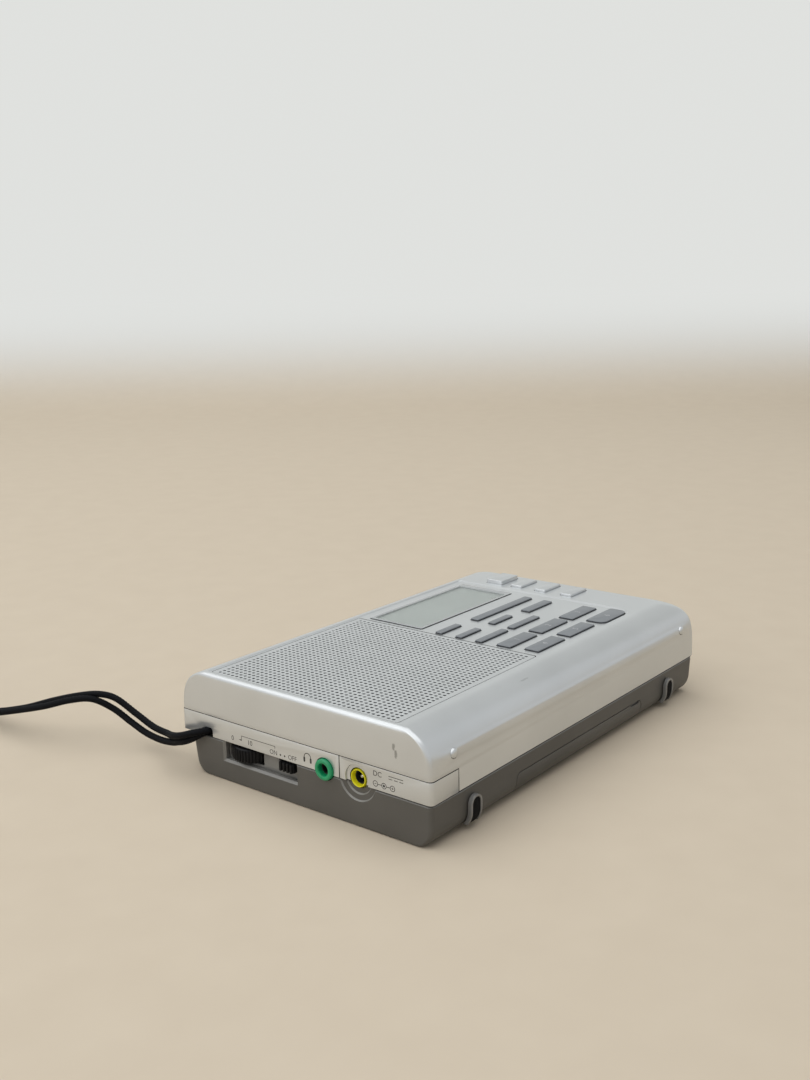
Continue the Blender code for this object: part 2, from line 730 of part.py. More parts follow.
def rear_posts():
    """Posts on the rear floor: wheel spindles and board supports."""
    foot = FLOOR - 0.6
    posts = []
    low = WHEEL_TOP - WHEEL_THICK
    for name, x, y, radius in wheels():
        pin = WHEEL_BORE - GAP
        profile = [(0.0, foot), (POST_RADIUS, foot),
                   (POST_RADIUS, low - GAP), (pin, low - GAP),
                   (pin, WHEEL_TOP - 0.2), (0.0, WHEEL_TOP - 0.2)]
        posts.append(lathe(profile, "Z", (x, y), 16))
    x0, x1, y0, y1 = main_board_edges()
    for x in (x0 + BOARD_POST_EDGE, x1 - BOARD_POST_EDGE):
        for y in (LID_Y1 + LID_POST_GAP, y1 - BOARD_POST_EDGE):
            posts.append(rod("Z", (x, y), BOARD_POST_RADIUS, foot,
                             MAIN_BOARD_Z - GAP, 10))
    jack_foot = JACK_BOARD_Z1 - BOARD_THICK - GAP
    inward = JACK_BOARD_MARGIN - 3.0
    for y in (POWER_Y - inward, PHONES_Y + inward):
        posts.append(rod("Z", (JACK_BOARD_X1 / 2, y), BOARD_POST_RADIUS,
                         foot, jack_foot, 10))
    return posts


def rear_cabinet(material):
    """Rear half with lid opening, control window and aerial hole."""
    over = REAR_TOP + 1.0
    reach = math.sqrt(VOLUME_RADIUS ** 2
                      - (VOLUME_RADIUS - VOLUME_PROUD - VOLUME_CUT) ** 2)
    reach += 2 * GAP
    cuts = [box(LID_X - GAP, LID_X + LID_LONG + GAP, -1.0, LID_Y1 + GAP,
                -1.0, LID_LIP + GAP),
            box(-1.0, PLATE_X - 0.1, CONTROL_Y, CONTROL_Y + CONTROL_WIDE,
                REAR_TOP - CONTROL_HIGH, over),
            box(LENGTH - VOLUME_CUT, LENGTH + 2.0, VOLUME_Y - reach,
                VOLUME_Y + reach, WHEEL_TOP - WHEEL_THICK - 0.6, over),
            rod("Y", (AERIAL_X, AERIAL_Z), PIVOT_RADIUS + GAP,
                REAR_FAR_Y - WALL - 1.5, REAR_FAR_Y + 2.0, 16)]
    boss = rod("Y", (AERIAL_X, AERIAL_Z), BOSS_RADIUS,
               REAR_FAR_Y - WALL - 1.0, REAR_FAR_Y, 24)
    make_piece("rear_cabinet", rear_shell(), material,
               adds=rear_posts() + [boss],
               cuts=cuts + socket_cuts(REAR_DISH))


def battery_cover(material):
    """Lid that wraps from the rear face round the standing edge."""
    face = REAR_INSET
    centre = face + STAND_RADIUS
    inner = STAND_RADIUS - LID_THICK
    outline = ([(LID_Y1, 0.0)]
               + arc(centre, STAND_RADIUS, STAND_RADIUS, 270, 180, 6)
               + [(face, LID_LIP), (face + LID_THICK, LID_LIP)]
               + arc(centre, STAND_RADIUS, inner, 180, 270, 6)
               + [(LID_Y1, LID_THICK)])
    x1 = LID_X + LID_LONG
    slot = box(x1 - 7.7, x1 - 1.5, -1.0, face + 0.7, LID_LIP - 0.7,
               LID_LIP + 1.0)
    make_piece("battery_cover", prism(outline, "X", LID_X, x1), material,
               origin=((LID_X + x1) / 2, LID_Y1, 0.0), cuts=[slot])


def battery_box(material):
    """Moulded bay over the cells, open below and to the lid's lip."""
    x0 = CELL_X - CONTACT_THICK - 2 * CELL_PLAY - BOX_WALL
    x1 = CELL_X + CELL_LONG + CONTACT_THICK + 2 * CELL_PLAY + BOX_WALL
    y0 = REAR_INSET + WALL + 0.4
    y1 = LID_Y1 + 0.6 + BOX_WALL
    z0 = FLOOR + 0.4
    outline = [(y0, BOX_CEILING + BOX_WALL), (y1, BOX_CEILING + BOX_WALL),
               (y1, z0), (REAR_INSET + STAND_RADIUS + 0.7, z0),
               (y0, STAND_RADIUS + 0.4)]
    bay = box(x0 + BOX_WALL, x1 - BOX_WALL, -1.0, y1 - BOX_WALL, -1.0,
              BOX_CEILING)
    make_piece("battery_box", prism(outline, "X", x0, x1), material,
               cuts=[bay])


def batteries(jacket, plate):
    """Round cells lying along the case and their contact plates."""
    x0 = CELL_X
    x1 = CELL_X + CELL_LONG
    r = CELL_RADIUS
    for number in range(CELL_COUNT):
        y = CELL_Y + number * CELL_PITCH
        cell = [(0.0, x0), (r - 0.8, x0), (r, x0 + 0.8), (r, x1 - 2.0),
                (r - 0.8, x1 - 1.2), (CELL_NUB, x1 - 1.2), (CELL_NUB, x1),
                (0.0, x1)]
        make_piece("battery_%d" % (number + 1),
                   lathe(cell, "X", (y, CELL_Z), 16), jacket)
    high = BOX_CEILING - GAP
    far_y = LID_Y1 - 0.4
    for name, x in (("contact_plate_minus", x0 - CELL_PLAY - CONTACT_THICK),
                    ("contact_plate_plus", x1 + CELL_PLAY)):
        make_piece(name, box(x, x + CONTACT_THICK, CELL_Y - 5.5, far_y,
                             CELL_Z - 5.5, high), plate)


def display(clear, glass, frame):
    """Window pane, display glass and the frame that holds the glass."""
    x0 = WINDOW_X
    x1 = WINDOW_X + WINDOW_LONG
    y0 = WINDOW_Y
    y1 = WINDOW_Y + WINDOW_WIDE
    pane = rounded_rect(x0, x1, y0, y1, (0.8,) * 4, 2)
    make_piece("lcd_window", prism(pane, "Z", WINDOW_Z1 - WINDOW_THICK,
                                   WINDOW_Z1), clear)
    pocket = 1.2
    floor = HOLDER_Z0 + GAP
    edge = pocket + GAP
    make_piece("lcd_panel", box(x0 + edge, x1 - edge, y0 + edge, y1 - edge,
                                floor + GAP, floor + GAP + GLASS_THICK),
               glass)
    hole = box(x0 + pocket, x1 - pocket, y0 + pocket, y1 - pocket, floor,
               HOLDER_Z1 + 1.0)
    make_piece("lcd_holder", box(x0 - HOLDER_RIM, x1 + HOLDER_RIM,
                                 y0 - HOLDER_RIM, y1 + HOLDER_RIM,
                                 HOLDER_Z0, HOLDER_Z1), frame, cuts=[hole])


def keys(dark, silver):
    """Push keys of the panel and of the far band."""
    for key in DARK_KEYS + SILVER_KEYS:
        x0, x1, y0, y1, top = key_place(key)
        rings = []
        for z, margin in ((KEY_Z0, 0.0), (top - 0.35, 0.0),
                          (top - 0.1, -0.15), (top, -0.45)):
            rings.append([(x, y, z) for x, y in key_outline(key, margin)])
        make_piece(key[0], loft(rings),
                   silver if key in SILVER_KEYS else dark,
                   origin=((x0 + x1) / 2, (y0 + y1) / 2, KEY_Z0))


def speaker(frame, cone, magnet):
    """Basket, cone and magnet behind the grille."""
    r = SPEAKER_RADIUS
    top = SPEAKER_Z
    low = top - BASKET_DEEP
    neck = MAGNET_RADIUS + 2.0
    centre = (SPEAKER_X, SPEAKER_Y)
    rim = r - BASKET_RIM
    basket = [(rim, top - 1.1), (rim, top), (r, top), (r, top - 1.6),
              (r - 2.2, top - 1.8), (neck, low), (neck - COIL_CAP, low),
              (neck - COIL_CAP, low + 1.4), (neck - 0.8, low + 1.4),
              (rim - 1.0, top - 1.1)]
    make_piece("speaker_frame", lathe(basket, "Z", centre, 24), frame)
    edge = r - CONE_EDGE
    thick = CONE_THICK
    cap = top - CONE_DEEP / 2
    neck_z = top - CONE_DEEP
    skin = [(0.0, cap), (COIL_CAP, cap - 0.6), (CONE_NECK, neck_z + thick),
            (edge, top - 0.7), (rim - 0.6, top), (rim - 0.4, top - 0.5),
            (edge, top - 0.7 - thick), (CONE_NECK, neck_z),
            (COIL_CAP, cap - 0.6 - thick), (0.0, cap - thick)]
    make_piece("speaker_cone", lathe(skin, "Z", centre, 24), cone)
    make_piece("speaker_magnet", rod("Z", centre, MAGNET_RADIUS,
                                     low - 0.4 - MAGNET_THICK, low - 0.4, 24),
               magnet)


def main_board_edges():
    """Plan edges of the main circuit board."""
    x0 = GRILLE_X + GRILLE_LONG - 0.7
    return (x0, LENGTH - MAIN_BOARD_END, REAR_INSET + WALL + 1.3,
            PANEL_Y1 - MAIN_BOARD_SIDE)


def boards(green):
    """Three circuit boards."""
    x0, x1, y0, y1 = main_board_edges()
    make_piece("main_board", box(x0, x1, y0, y1, MAIN_BOARD_Z,
                                 MAIN_BOARD_Z + BOARD_THICK), green)
    make_piece("key_board", box(WINDOW_X - 1.3, LENGTH - KEY_BOARD_END,
                                PANEL_Y0 - 0.8, PANEL_Y1 - KEY_BOARD_SIDE,
                                KEY_BOARD_Z1 - BOARD_THICK, KEY_BOARD_Z1),
               green)
    make_piece("jack_board", box(PLATE_X + 1.4, JACK_BOARD_X1,
                                 POWER_Y - JACK_BOARD_MARGIN,
                                 PHONES_Y + JACK_BOARD_MARGIN,
                                 JACK_BOARD_Z1 - BOARD_THICK, JACK_BOARD_Z1),
               green)


def bar_aerial(ferrite, copper):
    """Ferrite rod for the medium-wave band and its coil."""
    centre = (FERRITE_Y, FERRITE_Z)
    make_piece("ferrite_rod", rod("X", centre, FERRITE_RADIUS, FERRITE_X,
                                  FERRITE_X + FERRITE_LONG, 16), ferrite)
    x0 = FERRITE_X + COIL_START
    bore = FERRITE_RADIUS + GAP
    coil = [(bore, x0), (bore + COIL_THICK, x0),
            (bore + COIL_THICK, x0 + COIL_LONG), (bore, x0 + COIL_LONG)]
    make_piece("ferrite_coil", lathe(coil, "X", centre, 20), copper)


def sockets(green, yellow, metal):
    """Headphone socket, power socket and the power socket's pin."""
    step = REAR_INSET + WALL + 0.4
    back = step + SOCKET_LONG - 1.0
    phones = [(PHONES_BORE, -PHONES_REACH),
              (PHONES_RADIUS - 0.3, -PHONES_REACH),
              (PHONES_RADIUS, 0.3 - PHONES_REACH), (PHONES_RADIUS, step),
              (SOCKET_BODY, step), (SOCKET_BODY, back), (0.0, back),
              (0.0, back - 1.0), (PHONES_BORE, back - 1.0)]
    make_piece("headphone_jack", lathe(phones, "X", (PHONES_Y, PHONES_Z), 20),
               green)
    centre = (POWER_Y, POWER_Z)
    power = [(POWER_BORE, POWER_SUNK), (POWER_RADIUS, POWER_SUNK),
             (POWER_RADIUS, step), (SOCKET_BODY, step), (SOCKET_BODY, back),
             (0.0, back), (0.0, back - 1.0), (POWER_BORE, back - 1.0)]
    make_piece("dc_jack", lathe(power, "X", centre, 20), yellow)
    make_piece("dc_pin", rod("X", centre, POWER_PIN, POWER_SUNK + 1.4,
                             back - 1.0 - GAP, 10), metal)


def controls(black, grey):
    """Control plate with its wheel and switch, and the volume wheel."""
    low = WHEEL_TOP - WHEEL_THICK
    top = REAR_TOP - 0.25
    foot = REAR_TOP - CONTROL_HIGH - 1.5
    y0 = CONTROL_Y - 1.0
    y1 = CONTROL_Y + CONTROL_WIDE + 1.2
    s0 = SWITCH_Y - 0.4
    s1 = SWITCH_Y + SWITCH_LONG + SWITCH_TRAVEL + 0.6
    sz = SWITCH_Z1 - SWITCH_HIGH - 0.4
    plate_back = PLATE_X + PLATE_THICK
    half = math.sqrt(GAIN_RADIUS ** 2 - (GAIN_X - plate_back) ** 2) + GAP
    comb = [(y0, foot), (y1, foot), (y1, top), (GAIN_Y + half, top),
            (GAIN_Y + half, low - 0.4), (GAIN_Y - half, low - 0.4),
            (GAIN_Y - half, top), (s1, top), (s1, sz), (s0, sz), (s0, top),
            (y0, top)]
    make_piece("control_plate", prism(comb, "X", PLATE_X, plate_back), grey)
    for name, x, y, r in wheels():
        disc = [(WHEEL_BORE, low), (r - 0.5, low), (r, low + 0.5),
                (r, WHEEL_TOP - 0.5), (r - 0.5, WHEEL_TOP),
                (WHEEL_BORE, WHEEL_TOP)]
        make_piece(name, lathe(disc, "Z", (x, y), 28), black,
                   origin=(x, y, low))
    front = -SWITCH_PROUD
    neck = plate_back + 0.4
    a = SWITCH_Y
    b = SWITCH_Y + SWITCH_LONG
    knob = [(front, a), (neck, a), (neck, a - 1.6), (neck + 2.0, a - 1.6),
            (neck + 2.0, b + 1.6), (neck, b + 1.6), (neck, b), (front, b)]
    make_piece("gain_switch",
               prism(knob, "Z", SWITCH_Z1 - SWITCH_HIGH, SWITCH_Z1), black,
               origin=(0.0, (a + b) / 2, SWITCH_Z1))


def feet(rubber):
    """Rubber feet, hollowed at the back to lie on the rounded edge."""
    half = FOOT_WIDTH / 2
    face = REAR_INSET
    body = (arc(face + STAND_RADIUS, STAND_RADIUS, STAND_RADIUS + GAP,
                180, 270, 8)
            + [(WIDTH, -GAP), (WIDTH, PARTING_Z), (face - GAP, PARTING_Z)])
    for number, x in enumerate(FEET_X, 1):
        outline = ([(x - half, FOOT_BOTTOM), (x + half, FOOT_BOTTOM)]
                   + arc(x, FOOT_TOP - half, half, 0, 180, 8))
        make_piece("foot_%d" % number,
                   prism(outline, "Y", -FOOT_REACH, STAND_RADIUS), rubber,
                   cuts=[prism(body, "X", x - FOOT_WIDTH, x + FOOT_WIDTH)])


def strap_bar(metal):
    """Bar behind the notch that the wrist strap is looped on."""
    make_piece("strap_bar", rod("Y", (BAR_X, BAR_Z), BAR_RADIUS,
                                NOTCH_Y + GAP, NOTCH_Y + NOTCH_WIDE - GAP,
                                12), metal)


def aerial(chrome):
    """Telescopic aerial: swivelling fork, folding root and four slides."""
    axis = (AERIAL_Y, AERIAL_Z)
    collar_y = REAR_FAR_Y + GAP
    collar_top = AERIAL_Y - TONGUE - GAP
    shaft_y = REAR_FAR_Y - WALL - 0.8
    foot = [(0.0, shaft_y), (PIVOT_RADIUS, shaft_y), (PIVOT_RADIUS, collar_y),
            (COLLAR_RADIUS, collar_y), (COLLAR_RADIUS, collar_top),
            (0.0, collar_top)]
    cheeks = []
    inner = TONGUE + GAP
    for z0 in (-inner - CHEEK_THICK, inner):
        outline = ([(AERIAL_X - CHEEK_HALF, collar_top - 0.4),
                    (AERIAL_X + CHEEK_HALF, collar_top - 0.4)]
                   + arc(AERIAL_X, AERIAL_Y, CHEEK_HALF, 0, 180, 8))
        cheeks.append(prism(outline, "Z", AERIAL_Z + z0,
                            AERIAL_Z + z0 + CHEEK_THICK))
    make_piece("aerial_base", lathe(foot, "Y", (AERIAL_X, AERIAL_Z), 24),
               chrome, origin=(AERIAL_X, collar_y, AERIAL_Z), adds=cheeks)

    outer, bore = TUBES[0]
    shoulder = AERIAL_X - SHOULDER
    end = AERIAL_X - AERIAL_LONG
    ball = [(radius, height) for height, radius
            in arc(AERIAL_X, 0.0, TONGUE, 0, 90, 5)]
    root = [(0.0, AERIAL_X + TONGUE)] + ball[1:]
    root += [(TONGUE, shoulder), (outer, shoulder - 1.0), (outer, end),
             (bore, end), (bore, shoulder - ROOT_PLUG),
             (0.0, shoulder - ROOT_PLUG)]
    make_piece("aerial_root", lathe(root, "X", axis, 16), chrome,
               origin=(AERIAL_X, AERIAL_Y, AERIAL_Z))
    inner_end = shoulder - ROOT_PLUG - 0.4
    for number, (outer, bore) in enumerate(TUBES[1:], 2):
        end -= 1.2
        inner_end -= 0.4
        tube = [(outer, end), (outer, inner_end), (bore, inner_end),
                (bore, end)]
        make_piece("aerial_tube_%d" % number, lathe(tube, "X", axis, 16),
                   chrome, origin=(end, AERIAL_Y, AERIAL_Z))
    end -= 0.4
    tip = [(0.0, inner_end), (ROD_RADIUS, inner_end), (ROD_RADIUS, end),
           (TIP_RADIUS, end), (TIP_RADIUS, end - TIP_LONG + 0.8),
           (TIP_RADIUS - 0.8, end - TIP_LONG), (0.0, end - TIP_LONG)]
    make_piece("aerial_tip", lathe(tip, "X", axis, 16), chrome,
               origin=(end, AERIAL_Y, AERIAL_Z))


def smooth_route(points, per_span):
    """Points of a smooth curve through hand-chosen ones."""
    knots = [Vector(point) for point in points]
    ends = ([2 * knots[0] - knots[1]] + knots
            + [2 * knots[-1] - knots[-2]])
    route = []
    for i in range(len(knots) - 1):
        p0, p1, p2, p3 = ends[i:i + 4]
        for k in range(per_span):
            t = k / per_span
            route.append(0.5 * ((2 * p1) + (p2 - p0) * t
                                + (2 * p0 - 5 * p1 + 4 * p2 - p3) * t * t
                                + (3 * p1 - p0 - 3 * p2 + p3) * t ** 3))
    route.append(knots[-1])
    return route


def wrist_strap(material):
    """Braided cord as a round tube along its route."""
    route = smooth_route(STRAP_ROUTE, 2)
    curve = bpy.data.curves.new("wrist_strap", "CURVE")
    curve.dimensions = "3D"
    curve.bevel_depth = STRAP_RADIUS * MM
    curve.bevel_resolution = 2
    curve.use_fill_caps = True
    spline = curve.splines.new("POLY")
    spline.points.add(len(route) - 1)
    for point, position in zip(spline.points, route):
        point.co = (*place(position), 1.0)
    obj = bpy.data.objects.new("wrist_strap", curve)
    curve.materials.append(material)
    bpy.context.scene.collection.objects.link(obj)


def build():
    """Whole receiver, from the outside in."""
    clear_scene()
    silver = make_material("silver paint", (0.45, 0.47, 0.49), 0.7, 0.42)
    dark = make_material("dark plastic", (0.075, 0.073, 0.07), 0.0, 0.5)
    key_grey = make_material("grey key", (0.14, 0.145, 0.155), 0.0, 0.6)
    black = make_material("black plastic", (0.012, 0.012, 0.013), 0.0, 0.45)
    rubber = make_material("black rubber", (0.014, 0.014, 0.014), 0.0, 0.75)
    steel = make_material("bright steel", (0.62, 0.62, 0.6), 1.0, 0.25)
    green = make_material("green plastic", (0.01, 0.3, 0.12), 0.0, 0.35)
    yellow = make_material("yellow plastic", (0.75, 0.71, 0.02), 0.0, 0.4)
    board = make_material("circuit board", (0.03, 0.15, 0.06), 0.0, 0.5)
    clear = make_material("clear window", (0.8, 0.82, 0.82), 0.0, 0.05, 0.3)
    glass = make_material("display glass", (0.36, 0.4, 0.37), 0.0, 0.15)
    white = make_material("white plastic", (0.7, 0.7, 0.68), 0.0, 0.5)
    paper = make_material("speaker paper", (0.05, 0.045, 0.04), 0.0, 0.85)
    ferrite = make_material("ferrite", (0.03, 0.03, 0.033), 0.2, 0.6)
    copper = make_material("copper wire", (0.6, 0.25, 0.1), 1.0, 0.35)
    jacket = make_material("cell jacket", (0.12, 0.2, 0.35), 0.3, 0.4)
    cord = make_material("black cord", (0.015, 0.015, 0.016), 0.0, 0.85)

    front_cabinet(silver)
    speaker_grille(silver)
    end_strips(silver)
    rear_cabinet(dark)
    battery_cover(dark)
    battery_box(black)
    batteries(jacket, steel)
    display(clear, glass, white)
    keys(key_grey, silver)
    speaker(steel, paper, ferrite)
    boards(board)
    bar_aerial(ferrite, copper)
    sockets(green, yellow, steel)
    controls(black, dark)
    feet(rubber)
    strap_bar(steel)
    aerial(steel)
    wrist_strap(cord)


build()
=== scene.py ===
"""Looks of the shortwave receiver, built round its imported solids.

Shapes are drawn in millimetres from the near lower corner of the case (x along
the long side, y from the standing edge to the aerial edge, z up) and settle()
moves them into the frame's metres.
"""
import json
import math

import bmesh
import bpy
from mathutils import Matrix, Vector

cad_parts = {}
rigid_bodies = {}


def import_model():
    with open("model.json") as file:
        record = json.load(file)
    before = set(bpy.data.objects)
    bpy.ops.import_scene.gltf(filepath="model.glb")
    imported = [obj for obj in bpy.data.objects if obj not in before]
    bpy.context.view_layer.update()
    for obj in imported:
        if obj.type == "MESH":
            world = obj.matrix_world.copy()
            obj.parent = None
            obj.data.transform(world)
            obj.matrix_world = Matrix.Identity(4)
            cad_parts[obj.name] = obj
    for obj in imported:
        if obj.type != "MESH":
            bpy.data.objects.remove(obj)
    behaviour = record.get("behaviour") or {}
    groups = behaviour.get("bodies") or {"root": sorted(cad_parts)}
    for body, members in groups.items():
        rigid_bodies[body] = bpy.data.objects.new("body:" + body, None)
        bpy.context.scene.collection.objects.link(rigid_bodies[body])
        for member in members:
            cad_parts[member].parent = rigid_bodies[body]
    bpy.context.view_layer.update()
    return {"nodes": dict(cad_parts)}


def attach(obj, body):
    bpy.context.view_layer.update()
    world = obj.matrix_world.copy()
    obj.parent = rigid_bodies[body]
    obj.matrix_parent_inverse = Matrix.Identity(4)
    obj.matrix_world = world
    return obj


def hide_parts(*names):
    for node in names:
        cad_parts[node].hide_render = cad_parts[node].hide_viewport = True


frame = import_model()
nodes = frame["nodes"]
scene = bpy.context.scene

# Camera
# It stands where the photograph was taken, near the corner with the sockets,
# and looks down a little along the case.
def placed(name, data):
    """New object in the scene."""
    obj = bpy.data.objects.new(name, data)
    scene.collection.objects.link(obj)
    return obj


camera_data = bpy.data.cameras.new("camera")
camera_data.sensor_fit = "VERTICAL"
camera_data.sensor_height = 36.0
camera_data.lens = 40.53
camera = placed("camera", camera_data)
camera_place = (-0.33607, -0.24477, 0.16389)
yaw, pitch, roll = 0.672395, 0.224056, -0.0182776
ahead = Vector((math.cos(yaw) * math.cos(pitch),
                math.sin(yaw) * math.cos(pitch), -math.sin(pitch)))
right = ahead.cross(Vector((0.0, 0.0, 1.0))).normalized()
upward = right.cross(ahead)
camera_right = right * math.cos(roll) + upward * math.sin(roll)
camera_up = upward * math.cos(roll) - right * math.sin(roll)
turn = Matrix((camera_right, camera_up, -ahead)).transposed().to_4x4()
camera.matrix_world = Matrix.Translation(camera_place) @ turn
scene.camera = camera
scene.view_settings.view_transform = "Standard"

# Floor, light and surroundings
# A seamless sweep, pale beige below and off white behind, under soft studio
# light: one wide panel overhead and a weak one before the near end.
sweep_bend = 0.5
sweep_start, sweep_end = -1.6, 0.9
sweep_side = 2.2
sweep_profile = [(sweep_start, 0.0), (sweep_end, 0.0)]
for step in range(1, 13):
    angle = math.radians(90.0 * step / 12)
    sweep_profile.append((sweep_end + sweep_bend * math.sin(angle),
                          sweep_bend - sweep_bend * math.cos(angle)))
sweep_profile.append((sweep_end + sweep_bend, 2.2))
sweep_bm = bmesh.new()
rows = []
for along, height in sweep_profile:
    middle = Vector((ahead.x, ahead.y, 0.0)).normalized() * along
    side = Vector((right.x, right.y, 0.0)).normalized() * sweep_side
    foot = Vector((0.0, 0.0, height))
    rows.append((sweep_bm.verts.new(middle - side + foot),
                 sweep_bm.verts.new(middle + side + foot)))
for low, high in zip(rows, rows[1:]):
    face = sweep_bm.faces.new((low[0], low[1], high[1], high[0]))
    face.smooth = True


def object_of(name, shape):
    """Object from a form, which is used up."""
    mesh = bpy.data.meshes.new(name)
    shape.to_mesh(mesh)
    shape.free()
    return placed(name, mesh)


def material_of(name):
    """New material with its node tree and shader."""
    material = bpy.data.materials.new(name)
    material.use_nodes = True
    tree = material.node_tree
    return material, tree, tree.nodes["Principled BSDF"]


def node(tree, kind, values=None, **settings):
    """New node with its settings and the values of its inputs."""
    made = tree.nodes.new(kind if "Node" in kind else "ShaderNode" + kind)
    for setting, value in settings.items():
        setattr(made, setting, value)
    for socket, value in (values or {}).items():
        made.inputs[socket].default_value = value
    return made


def ramp_between(tree, dark, light, low=0.0, high=1.0):
    """Colour ramp from a dark to a light colour."""
    ramp = node(tree, "ValToRGB")
    for end, place, colour in zip(ramp.color_ramp.elements, (low, high), (dark, light)):
        end.position = place
        end.color = (*colour, 1.0)
    return ramp


def wire(tree, *links):
    """Links, each given as a node, its output, a node and its input."""
    for start, out, end, into in links:
        tree.links.new(start.outputs[out], end.inputs[into])


def seen_directly(tree):
    """Node that gives 1 to camera, mirror and glass rays, else 0."""
    path = node(tree, "LightPath")
    either = node(tree, "Math", operation="MAXIMUM")
    any_of = node(tree, "Math", operation="MAXIMUM")
    wire(tree, (path, "Is Camera Ray", either, 0), (path, "Is Glossy Ray", either, 1),
         (either, 0, any_of, 0), (path, "Is Transmission Ray", any_of, 1))
    return any_of


backdrop_white = (0.745, 0.755, 0.735, 1.0)
floor_paint, tree, shader = material_of("pale floor")
shader.inputs["Roughness"].default_value = 0.75
shader.inputs["Specular IOR Level"].default_value = 0.2
place = node(tree, "TexCoord")
level = node(tree, "SeparateXYZ")
cloud = node(tree, "TexNoise", {"Scale": 60.0})
ramp = ramp_between(tree, (0.64, 0.55, 0.43), (0.68, 0.59, 0.465))
rise = node(tree, "MapRange", {"From Min": 0.0, "From Max": 0.12}, interpolation_type="SMOOTHSTEP")
fall = node(tree, "MapRange", {"From Min": 0.5, "From Max": 1.3, "To Min": 1.0, "To Max": 0.66},
            interpolation_type="SMOOTHSTEP")
blend = node(tree, "Mix", {"B": backdrop_white}, data_type="RGBA")
glow = node(tree, "Emission", {"Color": backdrop_white})
share = node(tree, "Math", operation="MULTIPLY")
either = node(tree, "MixShader")
wire(tree, (place, "Object", cloud, "Vector"), (place, "Object", level, "Vector"),
     (cloud, "Fac", ramp, "Fac"), (level, "Z", rise, "Value"), (level, "Z", fall, "Value"),
     (fall, "Result", glow, "Strength"), (rise, "Result", blend, "Factor"),
     (ramp, "Color", blend, "A"), (blend, "Result", shader, "Base Color"),
     (seen_directly(tree), 0, share, 0), (rise, "Result", share, 1), (share, 0, either, "Fac"),
     (shader, "BSDF", either, 1), (glow, "Emission", either, 2),
     (either, "Shader", tree.nodes["Material Output"], "Surface"))
floor = object_of("floor", sweep_bm)
floor.data.materials.append(floor_paint)

for name, place, target, size, power in (
        ("key light", (-0.2, 0.3, 1.35), (0.0, 0.0, 0.0), 2.7, 16.5),
        ("fill light", (-1.2, 0.35, 0.6), (0.0, 0.0, 0.02), 1.3, 3.4)):
    lamp_data = bpy.data.lights.new(name, "AREA")
    lamp_data.shape = "DISK"
    lamp_data.size = size
    lamp_data.energy = power
    lamp = placed(name, lamp_data)
    aim = Vector(target) - Vector(place)
    lamp.rotation_euler = aim.to_track_quat("-Z", "Y").to_euler()
    lamp.location = place
    lamp.visible_camera = False
scene.world = bpy.data.worlds.new("studio")
scene.world.use_nodes = True
tree = scene.world.node_tree
sky = tree.nodes["Background"]
sky.inputs["Color"].default_value = (0.97, 0.985, 1.0, 1.0)
level = node(tree, "MapRange", {"To Min": 0.46, "To Max": 0.74})
wire(tree, (seen_directly(tree), 0, level, "Value"), (level, "Result", sky, "Strength"))


# Wrist strap
# Braided nylon cord, looped on a bar behind the notch of the near end. It
# springs up in a low hump before it lies on the table, as in the photograph.
mm = 0.001
case_frame = (Matrix.Translation((-0.084, -0.052, 0.0)) @ Matrix.Diagonal((mm, mm, mm, 1.0)))


def skin(rings):
    """Closed skin through rings of equal length."""
    bm = bmesh.new()
    loops = [[bm.verts.new(point) for point in ring] for ring in rings]
    bm.faces.new(loops[0])
    bm.faces.new(loops[-1])
    count = len(loops[0])
    for low, high in zip(loops, loops[1:]):
        for i in range(count):
            j = (i + 1) % count
            bm.faces.new((low[i], low[j], high[j], high[i]))
    bmesh.ops.recalc_face_normals(bm, faces=bm.faces)
    return bm


def joined(shapes):
    """Several forms in one."""
    whole = bmesh.new()
    for shape in shapes:
        mesh = bpy.data.meshes.new("shape")
        shape.to_mesh(mesh)
        shape.free()
        whole.from_mesh(mesh)
        bpy.data.meshes.remove(mesh)
    return whole


def form_of(obj):
    """Form of an object with its modifiers applied. The object is used up."""
    graph = bpy.context.evaluated_depsgraph_get()
    mesh = bpy.data.meshes.new_from_object(obj.evaluated_get(graph))
    bm = bmesh.new()
    bm.from_mesh(mesh)
    bpy.data.batch_remove((obj, obj.data, mesh))
    return bm


def finish_of(name, dark, light, mottle, metallic=0.0, rough=(0.4, 0.5),
              grain=2000.0, relief=0.02, depth=0.00005, shine=0.5):
    """Procedural finish: mottled colour, uneven gloss and a fine grain."""
    material, tree, shader = material_of(name)
    shader.inputs["Metallic"].default_value = metallic
    shader.inputs["Specular IOR Level"].default_value = shine
    place = node(tree, "TexCoord")
    cloud = node(tree, "TexNoise", {"Scale": mottle, "Detail": 4.0})
    ramp = ramp_between(tree, dark, light, 0.35, 0.65)
    ramp.name = "colour"
    gloss = node(tree, "MapRange", {"To Min": rough[0], "To Max": rough[1]})
    fine = node(tree, "TexNoise", {"Scale": grain, "Detail": 2.0})
    bump = node(tree, "Bump", {"Strength": relief, "Distance": depth})
    wire(tree, (place, "Object", cloud, "Vector"), (place, "Object", fine, "Vector"),
         (cloud, "Fac", ramp, "Fac"), (cloud, "Fac", gloss, "Value"),
         (ramp, "Color", shader, "Base Color"), (gloss, "Result", shader, "Roughness"),
         (fine, "Fac", bump, "Height"), (bump, "Normal", shader, "Normal"))
    return material


